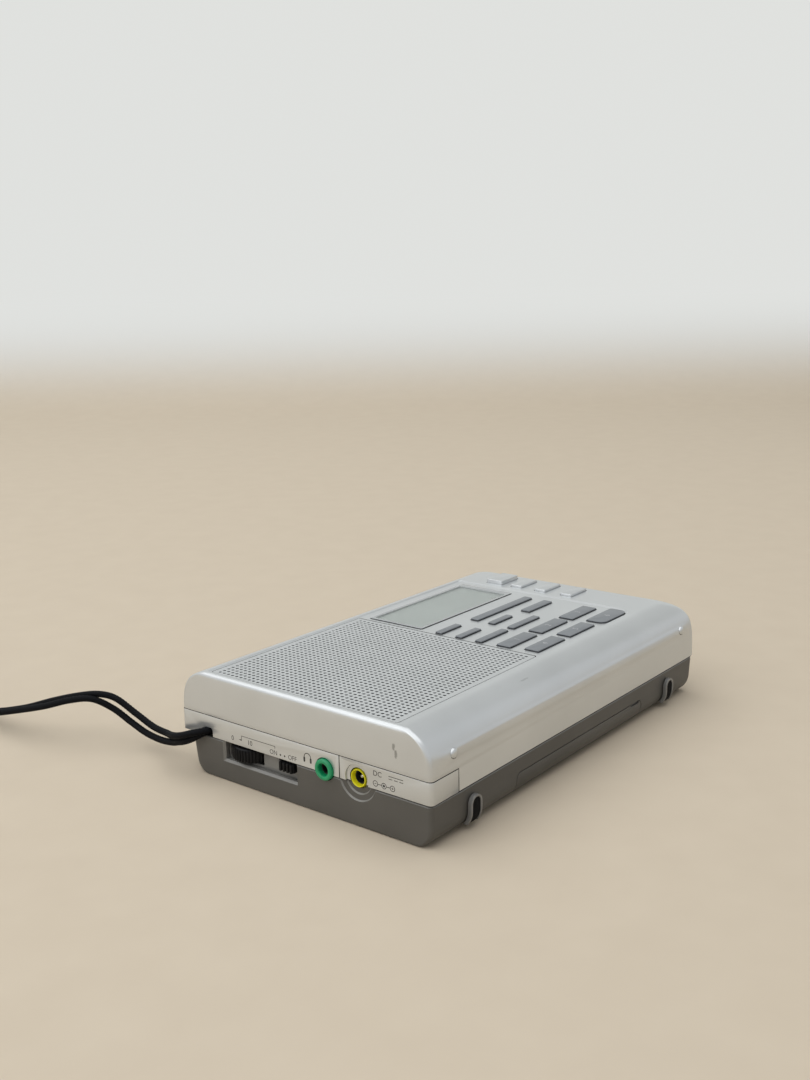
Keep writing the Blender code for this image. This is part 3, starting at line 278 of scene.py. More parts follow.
def settle(name, shape, material, body, solids=(), soften=0.0, sharp=30.0):
    """Finished piece: softened edges, finish, body and what it replaces."""
    shape.transform(case_frame)
    bmesh.ops.recalc_face_normals(shape, faces=shape.faces)
    obj = object_of(name, shape)
    if soften:
        edge = obj.modifiers.new("edge", "BEVEL")
        edge.width = soften * mm
        edge.segments = 2
        edge.limit_method = "ANGLE"
        edge.angle_limit = math.radians(45.0)
        obj = object_of(name, form_of(obj))
    mesh = obj.data
    mesh.shade_smooth()
    mesh.set_sharp_from_angle(angle=math.radians(sharp))
    mesh.materials.clear()
    mesh.materials.append(material)
    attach(obj, body)
    if solids:
        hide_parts(*solids)
    return obj


strap_route = [
    (3.2, 93.1, 14.9), (0.6, 93.6, 14.8), (-1.6, 94.8, 13.9), (-2.9, 97.2, 12.4),
    (-3.0, 100.6, 10.9), (-1.8, 104.6, 9.4), (0.4, 110.2, 7.2), (2.2, 118.4, 5.5),
    (2.7, 126.6, 5.9), (2.0, 133.8, 8.6), (-0.4, 140.4, 13.0), (-4.8, 146.2, 16.5),
    (-9.5, 153.0, 15.9), (-13.9, 162.8, 12.8), (-17.4, 180.8, 7.9), (-20.3, 200.0, 3.2),
    (-22.6, 216.0, 1.5), (-23.0, 228.5, 1.4), (-22.3, 236.2, 1.4), (-18.9, 241.1, 1.4),
    (-13.1, 241.1, 1.4), (-9.7, 236.2, 1.4), (-9.6, 228.5, 1.5), (-11.4, 214.0, 1.7),
    (-13.3, 196.6, 3.5), (-13.2, 175.7, 9.2), (-9.7, 161.1, 14.3), (-5.4, 152.6, 16.6),
    (-2.2, 145.5, 17.7), (0.8, 139.9, 16.4), (3.2, 132.6, 11.8), (4.0, 124.4, 8.4),
    (2.6, 115.8, 8.5), (-0.6, 109.6, 10.2), (-3.2, 105.2, 11.9), (-4.4, 101.6, 13.1),
    (-4.6, 98.2, 14.3), (-3.6, 95.0, 15.4), (-1.0, 92.3, 15.9), (3.2, 90.75, 15.95),
]
strap_line = []
strap_knots = [Vector(point) for point in strap_route]
strap_ends = ([2 * strap_knots[0] - strap_knots[1]] + strap_knots
              + [2 * strap_knots[-1] - strap_knots[-2]])
for i in range(len(strap_knots) - 1):
    p0, p1, p2, p3 = strap_ends[i:i + 4]
    for k in range(12):
        t = k / 12
        square = (2 * p0 - 5 * p1 + 4 * p2 - p3) * t * t
        cube = (3 * p1 - p0 - 3 * p2 + p3) * t ** 3
        strap_line.append(0.5 * (2 * p1 + (p2 - p0) * t + square + cube))
strap_line.append(strap_knots[-1])
strap_step = 0.22
strap_even = [strap_line[0]]
carry = 0.0
for a, b in zip(strap_line, strap_line[1:]):
    span = (b - a).length
    at = strap_step - carry
    while at < span:
        strap_even.append(a.lerp(b, at / span))
        at += strap_step
    carry = span - (at - strap_step)
strap_side = Vector((0.0, 0.0, 1.0))
strap_frames = []
for i, point in enumerate(strap_even):
    ahead_point = strap_even[min(i + 1, len(strap_even) - 1)]
    back_point = strap_even[max(i - 1, 0)]
    tangent = (ahead_point - back_point).normalized()
    strap_side = (strap_side - tangent * strap_side.dot(tangent)).normalized()
    strap_frames.append((point, tangent, strap_side, tangent.cross(strap_side)))
strands_each_way = 6
strand_pitch = 7.0
strand_half_width = 0.42
strand_half_thick = 0.15
strand_middle = 0.98
strand_lift = 0.09
strand_lap = 0.08
core_radius = 0.88
strands = []
for way in (1, -1):
    for strand in range(strands_each_way):
        rings = []
        for i, (point, tangent, side, other) in enumerate(strap_frames):
            run = i * strap_step
            angle = (2 * math.pi * strand / strands_each_way
                     + way * 2 * math.pi * run / strand_pitch)
            lift = way * strand_lift * math.cos(
                2 * math.pi * strands_each_way * run / strand_pitch)
            out = side * math.cos(angle) + other * math.sin(angle)
            round_way = other * math.cos(angle) - side * math.sin(angle)
            slope = 2 * math.pi * strand_middle / strand_pitch
            along = (tangent + round_way * way * slope).normalized()
            across = out.cross(along)
            middle = point + out * (strand_middle + lift)
            flat = across * strand_half_width
            lap = out * strand_lap
            thick = out * strand_half_thick
            rings.append([middle + flat - lap, middle + thick,
                          middle - flat - lap, middle - thick])
        strands.append(skin(rings))
core_rings = []
for point, tangent, side, other in strap_frames[::4]:
    ring = []
    for k in range(10):
        angle = 2 * math.pi * k / 10
        ring.append(point + (side * math.cos(angle) + other * math.sin(angle)) * core_radius)
    core_rings.append(ring)
strap_bm = joined(strands + [skin(core_rings)])
strap_cord = finish_of("black braided cord", (0.0012, 0.0014, 0.0022),
                       (0.0035, 0.004, 0.0058), 900.0, rough=(0.5, 0.7),
                       grain=9000.0, relief=0.3, depth=0.00006, shine=0.12)
wrist_strap = settle("wrist_strap_cord", strap_bm, strap_cord, "cabinet",
                     ["wrist_strap"], sharp=60.0)


# Front cabinet
# Moulded plastic half shell in satin metallic paint. Its sides lean in and
# roll over into the flat front, which has a shallow panel with a sloped rim.
def corner_arc(cx, cy, radius, start, end, steps):
    """Points of an arc in degrees, both ends included."""
    points = []
    for i in range(steps + 1):
        angle = math.radians(start + (end - start) * i / steps)
        points.append((cx + radius * math.cos(angle), cy + radius * math.sin(angle)))
    return points


def rounded(x0, x1, y0, y1, radii, steps=8):
    """Outline of a rectangle with one radius, or one for each corner."""
    r00, r10, r11, r01 = [radii] * 4 if isinstance(radii, float) else radii
    return (corner_arc(x0 + r00, y0 + r00, r00, 180, 270, steps)
            + corner_arc(x1 - r10, y0 + r10, r10, 270, 360, steps)
            + corner_arc(x1 - r11, y1 - r11, r11, 0, 90, steps)
            + corner_arc(x0 + r01, y1 - r01, r01, 90, 180, steps))


def raised(outline, z):
    """Outline set at a height."""
    return [(x, y, z) for x, y in outline]


def spread(axis, along, across):
    """Point from its height along an axis and the other two coordinates."""
    u, v = across
    if axis == "X":
        return (along, u, v)
    if axis == "Y":
        return (u, along, v)
    return (u, v, along)


def bar(outline, axis, low, high):
    """Outline drawn out straight along an axis."""
    return skin([[spread(axis, low, point) for point in outline],
                 [spread(axis, high, point) for point in outline]])


def block(x0, x1, y0, y1, z0, z1):
    """Rectangular block."""
    return bar([(x0, y0), (x1, y0), (x1, y1), (x0, y1)], "Z", z0, z1)


def turned(profile, axis, centre, steps=64):
    """Closed (radius, height) profile turned about an axis line."""
    bm = bmesh.new()
    points = [(height, (centre[0] + radius, centre[1])) for radius, height in profile]
    verts = [bm.verts.new(spread(axis, *point)) for point in points]
    edges = []
    for i, vert in enumerate(verts):
        j = (i + 1) % len(verts)
        if max(profile[i][0], profile[j][0]) > 1e-6:
            edges.append(bm.edges.new((vert, verts[j])))
    bmesh.ops.spin(bm, geom=verts + edges, cent=spread(axis, 0.0, centre),
                   axis=spread(axis, 1.0, (0.0, 0.0)), angle=2 * math.pi, steps=steps)
    bmesh.ops.remove_doubles(bm, verts=bm.verts, dist=1e-4)
    bmesh.ops.recalc_face_normals(bm, faces=bm.faces)
    return bm


def carved(shape, tools, operation="DIFFERENCE"):
    """A form with others cut out of it or added to it."""
    whole = object_of("carving", shape)
    tool = object_of("carving tool", joined(tools))
    cut = whole.modifiers.new("cut", "BOOLEAN")
    cut.operation = operation
    cut.solver = "EXACT"
    cut.object = tool
    result = form_of(whole)
    bpy.data.batch_remove((tool, tool.data))
    return result


front_length = 168.0
front_width = 104.0
front_z = 35.6
front_foot = 13.85
roof_z = 33.4
panel_z = 35.25
panel_x0, panel_x1, panel_y0, panel_y1 = 2.4, 141.6, 13.4, 92.6
near_radius = 1.6
near_roll, far_roll, side_roll = (0.36, 1.2, 0.25), (2.0, 7.4, 0.9), (3.2, 10.2, 1.4)


def roll_over(drop, depth, reach, ease):
    """Inward lean of a side at some depth below the front."""
    run = reach * (1.0 - math.exp(-drop / depth))
    if run < ease:
        run = 2.0 * math.sqrt(ease * run) - ease
    return reach - run


def front_outline(drop, inset, near, far):
    """Plan of the front half at some depth, with its two corner radii."""
    x0 = roll_over(drop, *near_roll) + inset
    x1 = front_length - roll_over(drop, *far_roll) - inset
    y0 = roll_over(drop, *side_roll) + inset
    radii = (near, far, far, near)
    return rounded(x0, x1, y0, front_width - y0, radii, 10)


def far_corner(drop):
    """Plan radius of the far corners, tight at the foot, wide in front."""
    return 1.6 + 3.6 * math.exp(-drop / 4.8)


front_rings = []
for z, drop, inset in ((roof_z, 0.2, 1.6), (31.0, 3.2, 1.8), (29.0, 5.2, 1.8), (26.0, 8.2, 1.8),
                       (front_foot, 21.7, 2.0), (front_foot, 21.7, 0.3)):
    front_rings.append(raised(front_outline(drop, inset, 1.0, 1.6), z))
for drop in (21.35, 18.0, 15.0, 12.5, 10.2, 8.3, 6.8, 5.6, 4.6, 3.8, 3.1, 2.5, 2.0, 1.6, 1.25,
             0.95, 0.7, 0.5, 0.35, 0.23, 0.14, 0.07, 0.025, 0.005, 0.0):
    front_rings.append(raised(front_outline(drop, 0.0, near_radius, far_corner(drop)),
                              front_z - drop))
front_rings.append(raised(front_outline(0.0, 0.3, near_radius, far_corner(0.0)), front_z))
front_bm = skin(front_rings)
panel_rings = []
for z, near, far, edge, radii in (
        (panel_z, 0.0, 0.0, 0.0, (0.8, 5.0, 0.8, 0.8)),
        (front_z, 0.3, 1.2, 0.4, (1.0, 5.8, 1.4, 1.0)),
        (front_z + 1.0, 0.9, 3.6, 1.2, (1.5, 7.0, 2.4, 1.5))):
    panel_rings.append(raised(rounded(panel_x0 - near, panel_x1 + far, panel_y0 - edge,
                                      panel_y1 + edge, radii), z))
nub = [(0.0, 2.2), (1.6, 2.2), (1.6, 0.45)]
nub += [(1.6 * x, 0.45 - 0.75 * y) for x, y in corner_arc(0.0, 0.0, 1.0, 15, 75, 4)]
nub.append((0.0, -0.3))
nub_tools = [turned(nub, "Y", at, 40) for at in ((11.5, 26.4), (157.4, 26.3))]
front_bm = carved(front_bm, nub_tools, "UNION")
front_bm = carved(front_bm, [skin(panel_rings)])
dark_keys = [
    ("key_a1", -0.9, 12.2, 41.2, 2.7, 0.65, 0.3),
    ("key_a2", 19.9, 36.6, 39.9, 3.4, 0.65, 0.3),
    ("key_b1", -0.9, 12.2, 32.5, 2.7, 0.65, 0.3),
    ("key_b2", 19.5, 12.1, 32.5, 2.7, 0.65, 0.3),
    ("key_b3", 40.1, 16.2, 30.7, 3.7, 0.65, 0.3),
    ("key_c1", -0.9, 16.6, 23.9, 2.8, 0.65, 0.3),
    ("key_c2", 18.9, 17.4, 23.7, 2.8, 0.65, 0.3),
    ("key_d1", -0.2, 17.2, 12.6, 5.6, 0.6, 0.3),
    ("key_d2", 20.1, 17.6, 12.6, 5.6, 0.6, 0.3),
    ("key_d3", 40.6, 17.5, 12.3, 5.8, 0.6, 0.3),
    ("key_e1", 1.5, 17.2, 2.3, 5.6, 0.6, 0.3),
    ("key_e2", 22.3, 16.8, 2.3, 5.6, 0.6, 0.3),
    ("key_e3", 42.8, 18.1, 0.65, 7.2, 0.6, 3.0),
]
silver_keys = [
    ("side_key_1", 4.4, 11.8, 10.0, 7.4, 1.5, 0.5),
    ("side_key_2", 4.4, 11.8, 0.7, 5.0, 0.9, 0.5),
    ("side_key_3", 4.4, 11.8, -10.5, 5.0, 0.9, 0.5),
    ("side_key_4", 4.4, 11.8, -22.4, 5.0, 0.9, 0.5),
]
window_x, window_y, window_x1, window_y1 = 79.3, 64.2, 138.0, 88.3
key_gap = 0.3
cut_low, cut_high = roof_z - 1.0, front_z + 1.0


def key_plan(key, margin, steps=6):
    """Plan of a key, the standing corners of the last one rounder."""
    name, along, length, across, width, height, radius = key
    side_key = name.startswith("side")
    x0 = (panel_x1 if side_key else window_x) + along
    y0 = (window_y if side_key else panel_y0) + across
    radii = [min(radius, limit) + margin for limit in (3.0, 3.0, 1.0, 0.3)]
    return rounded(x0 - margin, x0 + length + margin, y0 - margin,
                   y0 + width + margin, radii, steps)


hole_tools = [bar(rounded(2.7, 77.5, 14.1, 91.9, 1.0, 4), "Z", 34.2, cut_high),
              bar(rounded(window_x - key_gap, window_x1 + key_gap, window_y - key_gap,
                          window_y1 + key_gap, 1.0, 6), "Z", cut_low, cut_high),
              block(4.0, 75.8, 16.2, 90.2, cut_low, 34.5)]
for key in dark_keys + silver_keys:
    hole_tools.append(bar(key_plan(key, key_gap), "Z", cut_low, cut_high))
band_end, band_low, band_high = 13.3, 2.2, front_width - 2.2
past_side = front_width + 1.0
band = [(-1.0, -1.0), (band_end, -1.0), (band_end, band_low), (band_low, band_low),
        (band_low, band_high), (band_end, band_high), (band_end, past_side), (-1.0, past_side)]
hole_tools.append(bar(band, "Z", 12.0, 21.38))
front_bm = carved(front_bm, hole_tools)
silver = ((0.615, 0.637, 0.645), (0.65, 0.672, 0.68))
silver_paint = finish_of("satin silver paint", *silver, 35.0, metallic=0.7, rough=(0.26, 0.33),
                         grain=7000.0, relief=0.08, depth=0.00004)


def rubbed(material, spots):
    """Small dark marks in a finish, each an oval broken up by noise."""
    tree = material.node_tree
    place = node(tree, "TexCoord")
    broken = node(tree, "TexNoise", {"Scale": 900.0, "Detail": 3.0})
    wire(tree, (place, "Object", broken, "Vector"))
    under, out = tree.nodes["colour"], "Color"
    for middle, reach, depth in spots:
        away = node(tree, "VectorMath", {1: case_frame @ Vector(middle)}, operation="SUBTRACT")
        oval = node(tree, "VectorMath", {1: Vector(reach) * mm}, operation="DIVIDE")
        far = node(tree, "VectorMath", operation="LENGTH")
        ragged = node(tree, "Math", {1: 1.6}, operation="MULTIPLY_ADD")
        share = node(tree, "MapRange", {"From Min": 1.75, "From Max": 1.35, "To Max": depth})
        blend = node(tree, "Mix", {"B": (0.06, 0.055, 0.05, 1.0)}, data_type="RGBA")
        wire(tree, (place, "Object", away, 0), (away, "Vector", oval, 0),
             (oval, "Vector", far, 0), (broken, "Fac", ragged, 0),
             (far, "Value", ragged, 2), (ragged, "Value", share, "Value"),
             (share, "Result", blend, "Factor"), (under, out, blend, "A"))
        under, out = blend, "Result"
    wire(tree, (under, out, tree.nodes["Principled BSDF"], "Base Color"))


# Two scuffs on the near face, a darker streak along the top seam of the corner strip, and a small
# dark mark on the roll of the standing side.
rubbed(silver_paint, [((0.0, 13.5, 29.2), (0.6, 0.75, 1.4), 0.5),
                      ((0.0, 12.7, 27.0), (0.6, 0.7, 1.5), 0.5),
                      ((0.0, 30.0, 20.8), (0.6, 5.0, 0.5), 0.25),
                      ((58.0, 6.6, 34.2), (3.0, 0.4, 0.6), 0.2)])
# Black plastic: bare where the paint does not reach, and painted shade in seams, gaps, hole walls
# and the power socket's bore.
bare_and_shade_black = finish_of("black plastic, bare and painted shade", (0.008, 0.008, 0.008), (0.014, 0.014, 0.014), 200.0,
                         rough=(0.5, 0.65), grain=3000.0, relief=0.1)


def refinish(obj, material, chosen):
    """Second finish on the faces that a test picks."""
    obj.data.materials.append(material)
    to_case = case_frame.inverted()
    for polygon in obj.data.polygons:
        if chosen(to_case @ polygon.center, polygon.normal):
            polygon.material_index = 1


def unpainted(at, normal):
    """Undersides, joints and hole walls in black: bare plastic under the paint, and painted shade
    in the joints and hole walls.
    """
    if at.z > 33.3:
        return (abs(normal.z) < 0.35 and 2.5 < at.x < 160.0
                and 13.65 < at.y < 92.3 and abs(at.x - panel_x1) > 0.3)
    inside = 1.5 < at.x < 160.0 and 1.5 < at.y < 102.5 and at.z < 21.5
    return inside or normal.z < -0.5 or (abs(at.x - band_end) < 0.1 and normal.x < -0.7)


front_shell = settle("front_shell", front_bm, silver_paint, "cabinet",
                     ["front_cabinet"], soften=0.12)
# Painted shade: black on the walls of the key and display holes and in the seams.
refinish(front_shell, bare_and_shade_black, unpainted)
for polygon in front_shell.data.polygons:
    if polygon.normal.z > 0.9999:
        polygon.use_smooth = False


# Near end strips
# Two painted strips that close the near end under the seam, with the strap's
# notch, the socket holes and the round dish of the power socket.
phones_at = (40.6, 15.3)
power_at = (27.8, 15.5)


def tube(inner, outer, low, high, axis, centre, steps=64):
    """Round tube along an axis, or a rod when its bore is 0."""
    return turned([(inner, low), (outer, low), (outer, high), (inner, high)], axis, centre, steps)


def phones_hole():
    """Hole of the headphone socket."""
    return tube(0.0, 3.7, -2.0, 4.0, "X", phones_at)


def socket_tools():
    """Holes of the two sockets and the dish round the power socket."""
    power = [(0.0, -1.0), (4.5, -1.0), (4.5, 0.75), (3.3, 0.8), (3.3, 4.0), (0.0, 4.0)]
    return [phones_hole(), turned(power, "X", power_at)]


strip_foot = front_foot + 0.25
strip_top = 21.15
strip_end = 12.95
strip_thick = 1.8
strip_inner = front_width - strip_thick
strip_seam = 34.6
corner_low, corner_high = strip_seam - 0.15, strip_seam + 0.15
corner_plan = ([(0.0, corner_low)]
               + corner_arc(near_radius, near_radius, near_radius, 180, 270, 10)
               + [(strip_end, 0.0), (strip_end, strip_thick),
                  (strip_thick, strip_thick), (strip_thick, corner_low)])
corner_bm = carved(bar(corner_plan, "Z", strip_foot, strip_top), socket_tools())
corner_shell = settle("corner_strip_shell", corner_bm, silver_paint, "cabinet",
                      ["corner_strip"], soften=0.12)
end_plan = ([(strip_end, front_width)]
            + corner_arc(near_radius, front_width - near_radius, near_radius, 90, 180, 10)
            + [(0.0, corner_high), (strip_thick, corner_high),
               (strip_thick, strip_inner), (strip_end, strip_inner)])
notch = [(89.5, 13.0), (95.8, 13.0), (95.6, 15.0), (95.0, 15.9), (93.8, 16.6),
         (92.4, 17.05), (90.5, 17.1), (89.8, 16.8), (89.5, 16.1)]
end_tools = socket_tools() + [bar(notch, "X", -1.0, 1.9)]
end_bm = carved(bar(end_plan, "Z", strip_foot, strip_top), end_tools)
lugs = [block(1.7, 5.6, y, y + 1.2, 14.15, 18.0) for y in (88.3, 96.4)]
end_bm = carved(end_bm, lugs, "UNION")
end_shell = settle("end_strip_shell", end_bm, silver_paint, "cabinet",
                   ["end_strip"], soften=0.12)
# Black on the tops, bottoms, seam ends and inner faces of the strips: bare plastic inside, painted
# shade in the seams.
for strip in (corner_shell, end_shell):
    refinish(strip, bare_and_shade_black, lambda at, normal: abs(normal.z) > 0.7
             or abs(at.y - strip_seam) < 0.16 or normal.x > 0.7
             or (at.x > 0.95 and 0.95 < at.y < 103.05))


# Speaker grille
# Thin panel painted like the case, pierced by a square field of round holes,
# 38 by 39, over a black dust cloth. Painted shade darkens the hole walls.
grille_top = 35.2
grille_thick = 0.8
hole_pitch = 1.906
hole_radius = 0.56
columns, lines = 38, 39
cell_bm = bmesh.new()
half = hole_pitch / 2
rim_corners = [(-half, -half), (half, -half), (half, half), (-half, half)]
cell_rim = []
for (ax, ay), (bx, by) in zip(rim_corners, rim_corners[1:] + rim_corners[:1]):
    for third in range(3):
        cell_rim.append((ax + (bx - ax) * third / 3, ay + (by - ay) * third / 3))
cell_levels = [(None, 0.0), (hole_radius + 0.07, 0.0), (hole_radius + 0.02, -0.02),
               (hole_radius, -0.07), (hole_radius, -grille_thick)]
cell_loops = []
for radius, z in cell_levels:
    loop = []
    for x, y in cell_rim:
        angle = math.atan2(y, x)
        if radius is None:
            loop.append(cell_bm.verts.new((x, y, z)))
        else:
            loop.append(cell_bm.verts.new((radius * math.cos(angle), radius * math.sin(angle), z)))
    cell_loops.append(loop)
for outer, inner in zip(cell_loops, cell_loops[1:]):
    for i in range(len(outer)):
        j = (i + 1) % len(outer)
        cell_bm.faces.new((outer[i], outer[j], inner[j], inner[i]))


def pattern_tree(name, inputs, weld=0.0):
    """Tree that sets copies on points, its input ids, start and placing node."""
    tree = bpy.data.node_groups.new(name, "GeometryNodeTree")
    ids = {}
    for label, kind in (*inputs, ("Finish", "Material")):
        socket = tree.interface.new_socket(label, in_out="INPUT", socket_type="NodeSocket" + kind)
        ids[label] = socket.identifier
    tree.interface.new_socket("Copies", in_out="OUTPUT", socket_type="NodeSocketGeometry")
    start = node(tree, "NodeGroupInput")
    put = node(tree, "GeometryNodeInstanceOnPoints")
    copies = node(tree, "GeometryNodeRealizeInstances")
    wire(tree, (put, "Instances", copies, "Geometry"))
    if weld:
        apart = copies
        copies = node(tree, "GeometryNodeMergeByDistance", {"Distance": weld})
        wire(tree, (apart, "Geometry", copies, "Geometry"))
    paint = node(tree, "GeometryNodeSetMaterial")
    wire(tree, (copies, "Geometry", paint, "Geometry"), (start, "Finish", paint, "Material"),
         (paint, "Geometry", node(tree, "NodeGroupOutput"), "Copies"))
    return tree, ids, start, put


def patterned(obj, tree, ids, values):
    """Form that an object takes under a node tree with these inputs."""
    step = obj.modifiers.new("pattern", "NODES")
    step.node_group = tree
    for label, value in values.items():
        step[ids[label]] = value
    return form_of(obj)


tree, ids, start, put = pattern_tree("perforated field", (
    ("Cell", "Geometry"), ("Columns", "Int"), ("Lines", "Int"),
    ("Pitch", "Float")), weld=0.001)
grid = node(tree, "GeometryNodeMeshGrid")
for label, axis in (("Columns", "X"), ("Lines", "Y")):
    gaps = node(tree, "Math", {1: 1.0}, operation="SUBTRACT")
    reach = node(tree, "Math", operation="MULTIPLY")
    wire(tree, (start, label, grid, "Vertices " + axis), (start, label, gaps, 0),
         (gaps, 0, reach, 0), (start, "Pitch", reach, 1), (reach, 0, grid, "Size " + axis))
wire(tree, (grid, "Mesh", put, "Points"), (start, "Cell", put, "Instance"))
field_bm = patterned(object_of("grille cell", cell_bm), tree, ids, {
    "Columns": columns, "Lines": lines, "Pitch": hole_pitch,
    "Finish": silver_paint})
field_middle = Vector((4.62 + hole_pitch * (columns - 1) / 2,
                       16.95 + hole_pitch * (lines - 1) / 2, grille_top))
field_bm.transform(Matrix.Translation(field_middle))
reach_x = hole_pitch * columns / 2
reach_y = hole_pitch * lines / 2
frame_bm = bar(rounded(3.0, 77.2, 14.4, 91.8, 0.8, 6), "Z", grille_top - grille_thick, grille_top)
frame_bm = carved(frame_bm, [block(field_middle.x - reach_x, field_middle.x + reach_x,
                                   field_middle.y - reach_y, field_middle.y + reach_y,
                                   grille_top - 2.0, grille_top + 1.0)])


def darkened_below(material, height, depth, tint):
    """Painted shade: colour that falls to a dark tint within a depth under a height."""
    tree = material.node_tree
    place = node(tree, "TexCoord")
    level = node(tree, "SeparateXYZ")
    fade = node(tree, "MapRange", {"From Min": (height - depth) * mm, "From Max": height * mm})
    blend = node(tree, "Mix", {"A": (*tint, 1.0)}, data_type="RGBA")
    wire(tree, (place, "Object", level, "Vector"), (level, "Z", fade, "Value"),
         (fade, "Result", blend, "Factor"), (tree.nodes["colour"], "Color", blend, "B"),
         (blend, "Result", tree.nodes["Principled BSDF"], "Base Color"))


grille_paint = finish_of("silver grille paint", *silver, 60.0, metallic=0.7, rough=(0.28, 0.36),
                         grain=7000.0, relief=0.08, depth=0.00004)
# Painted shade: the hole walls fall to near black within 0.25 mm under the top.
darkened_below(grille_paint, grille_top - 0.02, 0.25, (0.02, 0.02, 0.022))
settle("perforated_grille", joined([field_bm, frame_bm]), grille_paint,
       "cabinet", ["speaker_grille"])
cloth_black = finish_of("black dust cloth", (0.004, 0.004, 0.004), (0.012, 0.012, 0.012), 1500.0,
                        rough=(0.8, 0.95), grain=3000.0, relief=0.6, depth=0.0001)
settle("dust_cloth", bar(rounded(4.1, 75.7, 16.3, 90.1, 0.5, 3), "Z", 33.5, 33.8), cloth_black,
       "cabinet")


# Display
# A clear moulded pane with a printed border, standing just proud of the panel,
# over the grey green liquid crystal glass in its frame.
pane, tree, plain_shader = material_of("clear pane")
tree.nodes.remove(plain_shader)
place = node(tree, "TexCoord")
dust = node(tree, "TexNoise", {"Scale": 300.0, "Detail": 6.0})
gloss = node(tree, "MapRange", {"To Min": 0.06, "To Max": 0.16})
clear = node(tree, "BsdfTransparent", {"Color": (0.95, 0.965, 0.96, 1.0)})
shine = node(tree, "BsdfGlossy")
angle = node(tree, "Fresnel", {"IOR": 1.45})
side = node(tree, "NewGeometry")
front = node(tree, "Math", {0: 1.0}, operation="SUBTRACT")
share = node(tree, "Math", operation="MULTIPLY")
either = node(tree, "MixShader")
wire(tree, (place, "Object", dust, "Vector"), (dust, "Fac", gloss, "Value"),
     (gloss, "Result", shine, "Roughness"), (side, "Backfacing", front, 1), (front, 0, share, 0),
     (angle, "Fac", share, 1), (share, 0, either, "Fac"), (clear, "BSDF", either, 1),
     (shine, "BSDF", either, 2), (either, "Shader", tree.nodes["Material Output"], "Surface"))
pane_inner = (80.6, 134.8, 65.2, 87.0)
pane_top = panel_z + 0.3
settle("display_pane", bar(rounded(*pane_inner, 0.5, 4), "Z", pane_top - 0.3, pane_top), pane,
       "cabinet", ["lcd_window"])
border_bm = bar(rounded(window_x, window_x1, window_y, window_y1, 0.8, 6), "Z", 33.8, pane_top)
border_bm = carved(border_bm, [bar(rounded(*pane_inner, 0.5, 4), "Z", 33.0, 36.0)])
border_print = finish_of("display border print", (0.38, 0.4, 0.405), (0.42, 0.44, 0.445), 90.0,
                         rough=(0.1, 0.18), grain=4000.0, relief=0.03)
display_border = settle("display_border", border_bm, border_print, "cabinet", soften=0.1)
# Painted shade: the sides of the border are black, for the gap round the pane.
refinish(display_border, bare_and_shade_black, lambda at, normal:
         abs(normal.z) < 0.3 and (at.x < 80.0 or at.x > 137.0
                                  or at.y < 64.6 or at.y > 87.8))
glass = finish_of("liquid crystal glass", (0.41, 0.434, 0.418), (0.455, 0.479, 0.463), 25.0,
                  rough=(0.18, 0.3), grain=2500.0, relief=0.03)
settle("display_glass", bar(rounded(80.65, 134.75, 65.25, 86.95, 0.4, 4), "Z", 33.9,
                            pane_top - 0.6), glass, "cabinet", ["lcd_panel"])
holder_white = finish_of("white holder plastic", (0.6, 0.6, 0.58), (0.66, 0.66, 0.64), 120.0,
                         rough=(0.45, 0.6), grain=2500.0, relief=0.1)


def dress(solid, material):
    """Finish on a solid that keeps its form."""
    finishes = nodes[solid].data.materials
    finishes.clear()
    finishes.append(material)


dress("lcd_holder", holder_white)


# Keys
# Moulded keys with softened tops: grey ones in the panel, silver ones in the
# far band. Each rides on its own body, with a plain number printed on some.
key_grey = finish_of("grey key plastic", (0.195, 0.211, 0.225), (0.222, 0.239, 0.254), 200.0,
                     rough=(0.34, 0.46), grain=5000.0, relief=0.15)
# Painted shade: the sides of the grey keys fall to near black under their tops.
darkened_below(key_grey, panel_z + 0.52, 0.35, (0.015, 0.017, 0.02))
legend_ink = finish_of("pale legend ink", (0.42, 0.43, 0.44), (0.5, 0.51, 0.52), 800.0,
                       rough=(0.5, 0.65), grain=9000.0, relief=0.05)


def printed(name, words, size, middle, ink, body, facing="Z"):
    """Flat printed characters centred on a point of a flat face."""
    text = bpy.data.curves.new(name, "FONT")
    text.body = words
    text.size = size
    text.align_x = "CENTER"
    text.align_y = "CENTER"
    text.resolution_u = 3
    text.extrude = 0.008
    bm = form_of(placed(name, text))
    if facing == "-X":
        bm.transform(Matrix(((0, 0, -1, 0), (-1, 0, 0, 0), (0, 1, 0, 0), (0, 0, 0, 1))))
    bm.transform(Matrix.Translation(middle))
    return settle(name, bm, ink, body)


number = 0
for key in dark_keys + silver_keys:
    name, along, length, across, width, height, radius = key
    side_key = name.startswith("side")
    top = (front_z if side_key else panel_z) + height
    rings = []
    for z, margin in ((31.2, 0.0), (top - 0.17, 0.0), (top - 0.08, -0.025),
                      (top - 0.025, -0.08), (top, -0.17)):
        rings.append(raised(key_plan(key, margin), z))
    settle(name + "_cap", skin(rings), silver_paint if side_key else key_grey, name,
           [name])
    if not side_key and width > 5.0:
        number += 1
        x0 = window_x + along
        y0 = panel_y0 + across
        printed(name + "_number", str(number), 3.2, (x0 + length / 2, y0 + width / 2, top + 0.006),
                legend_ink, name)


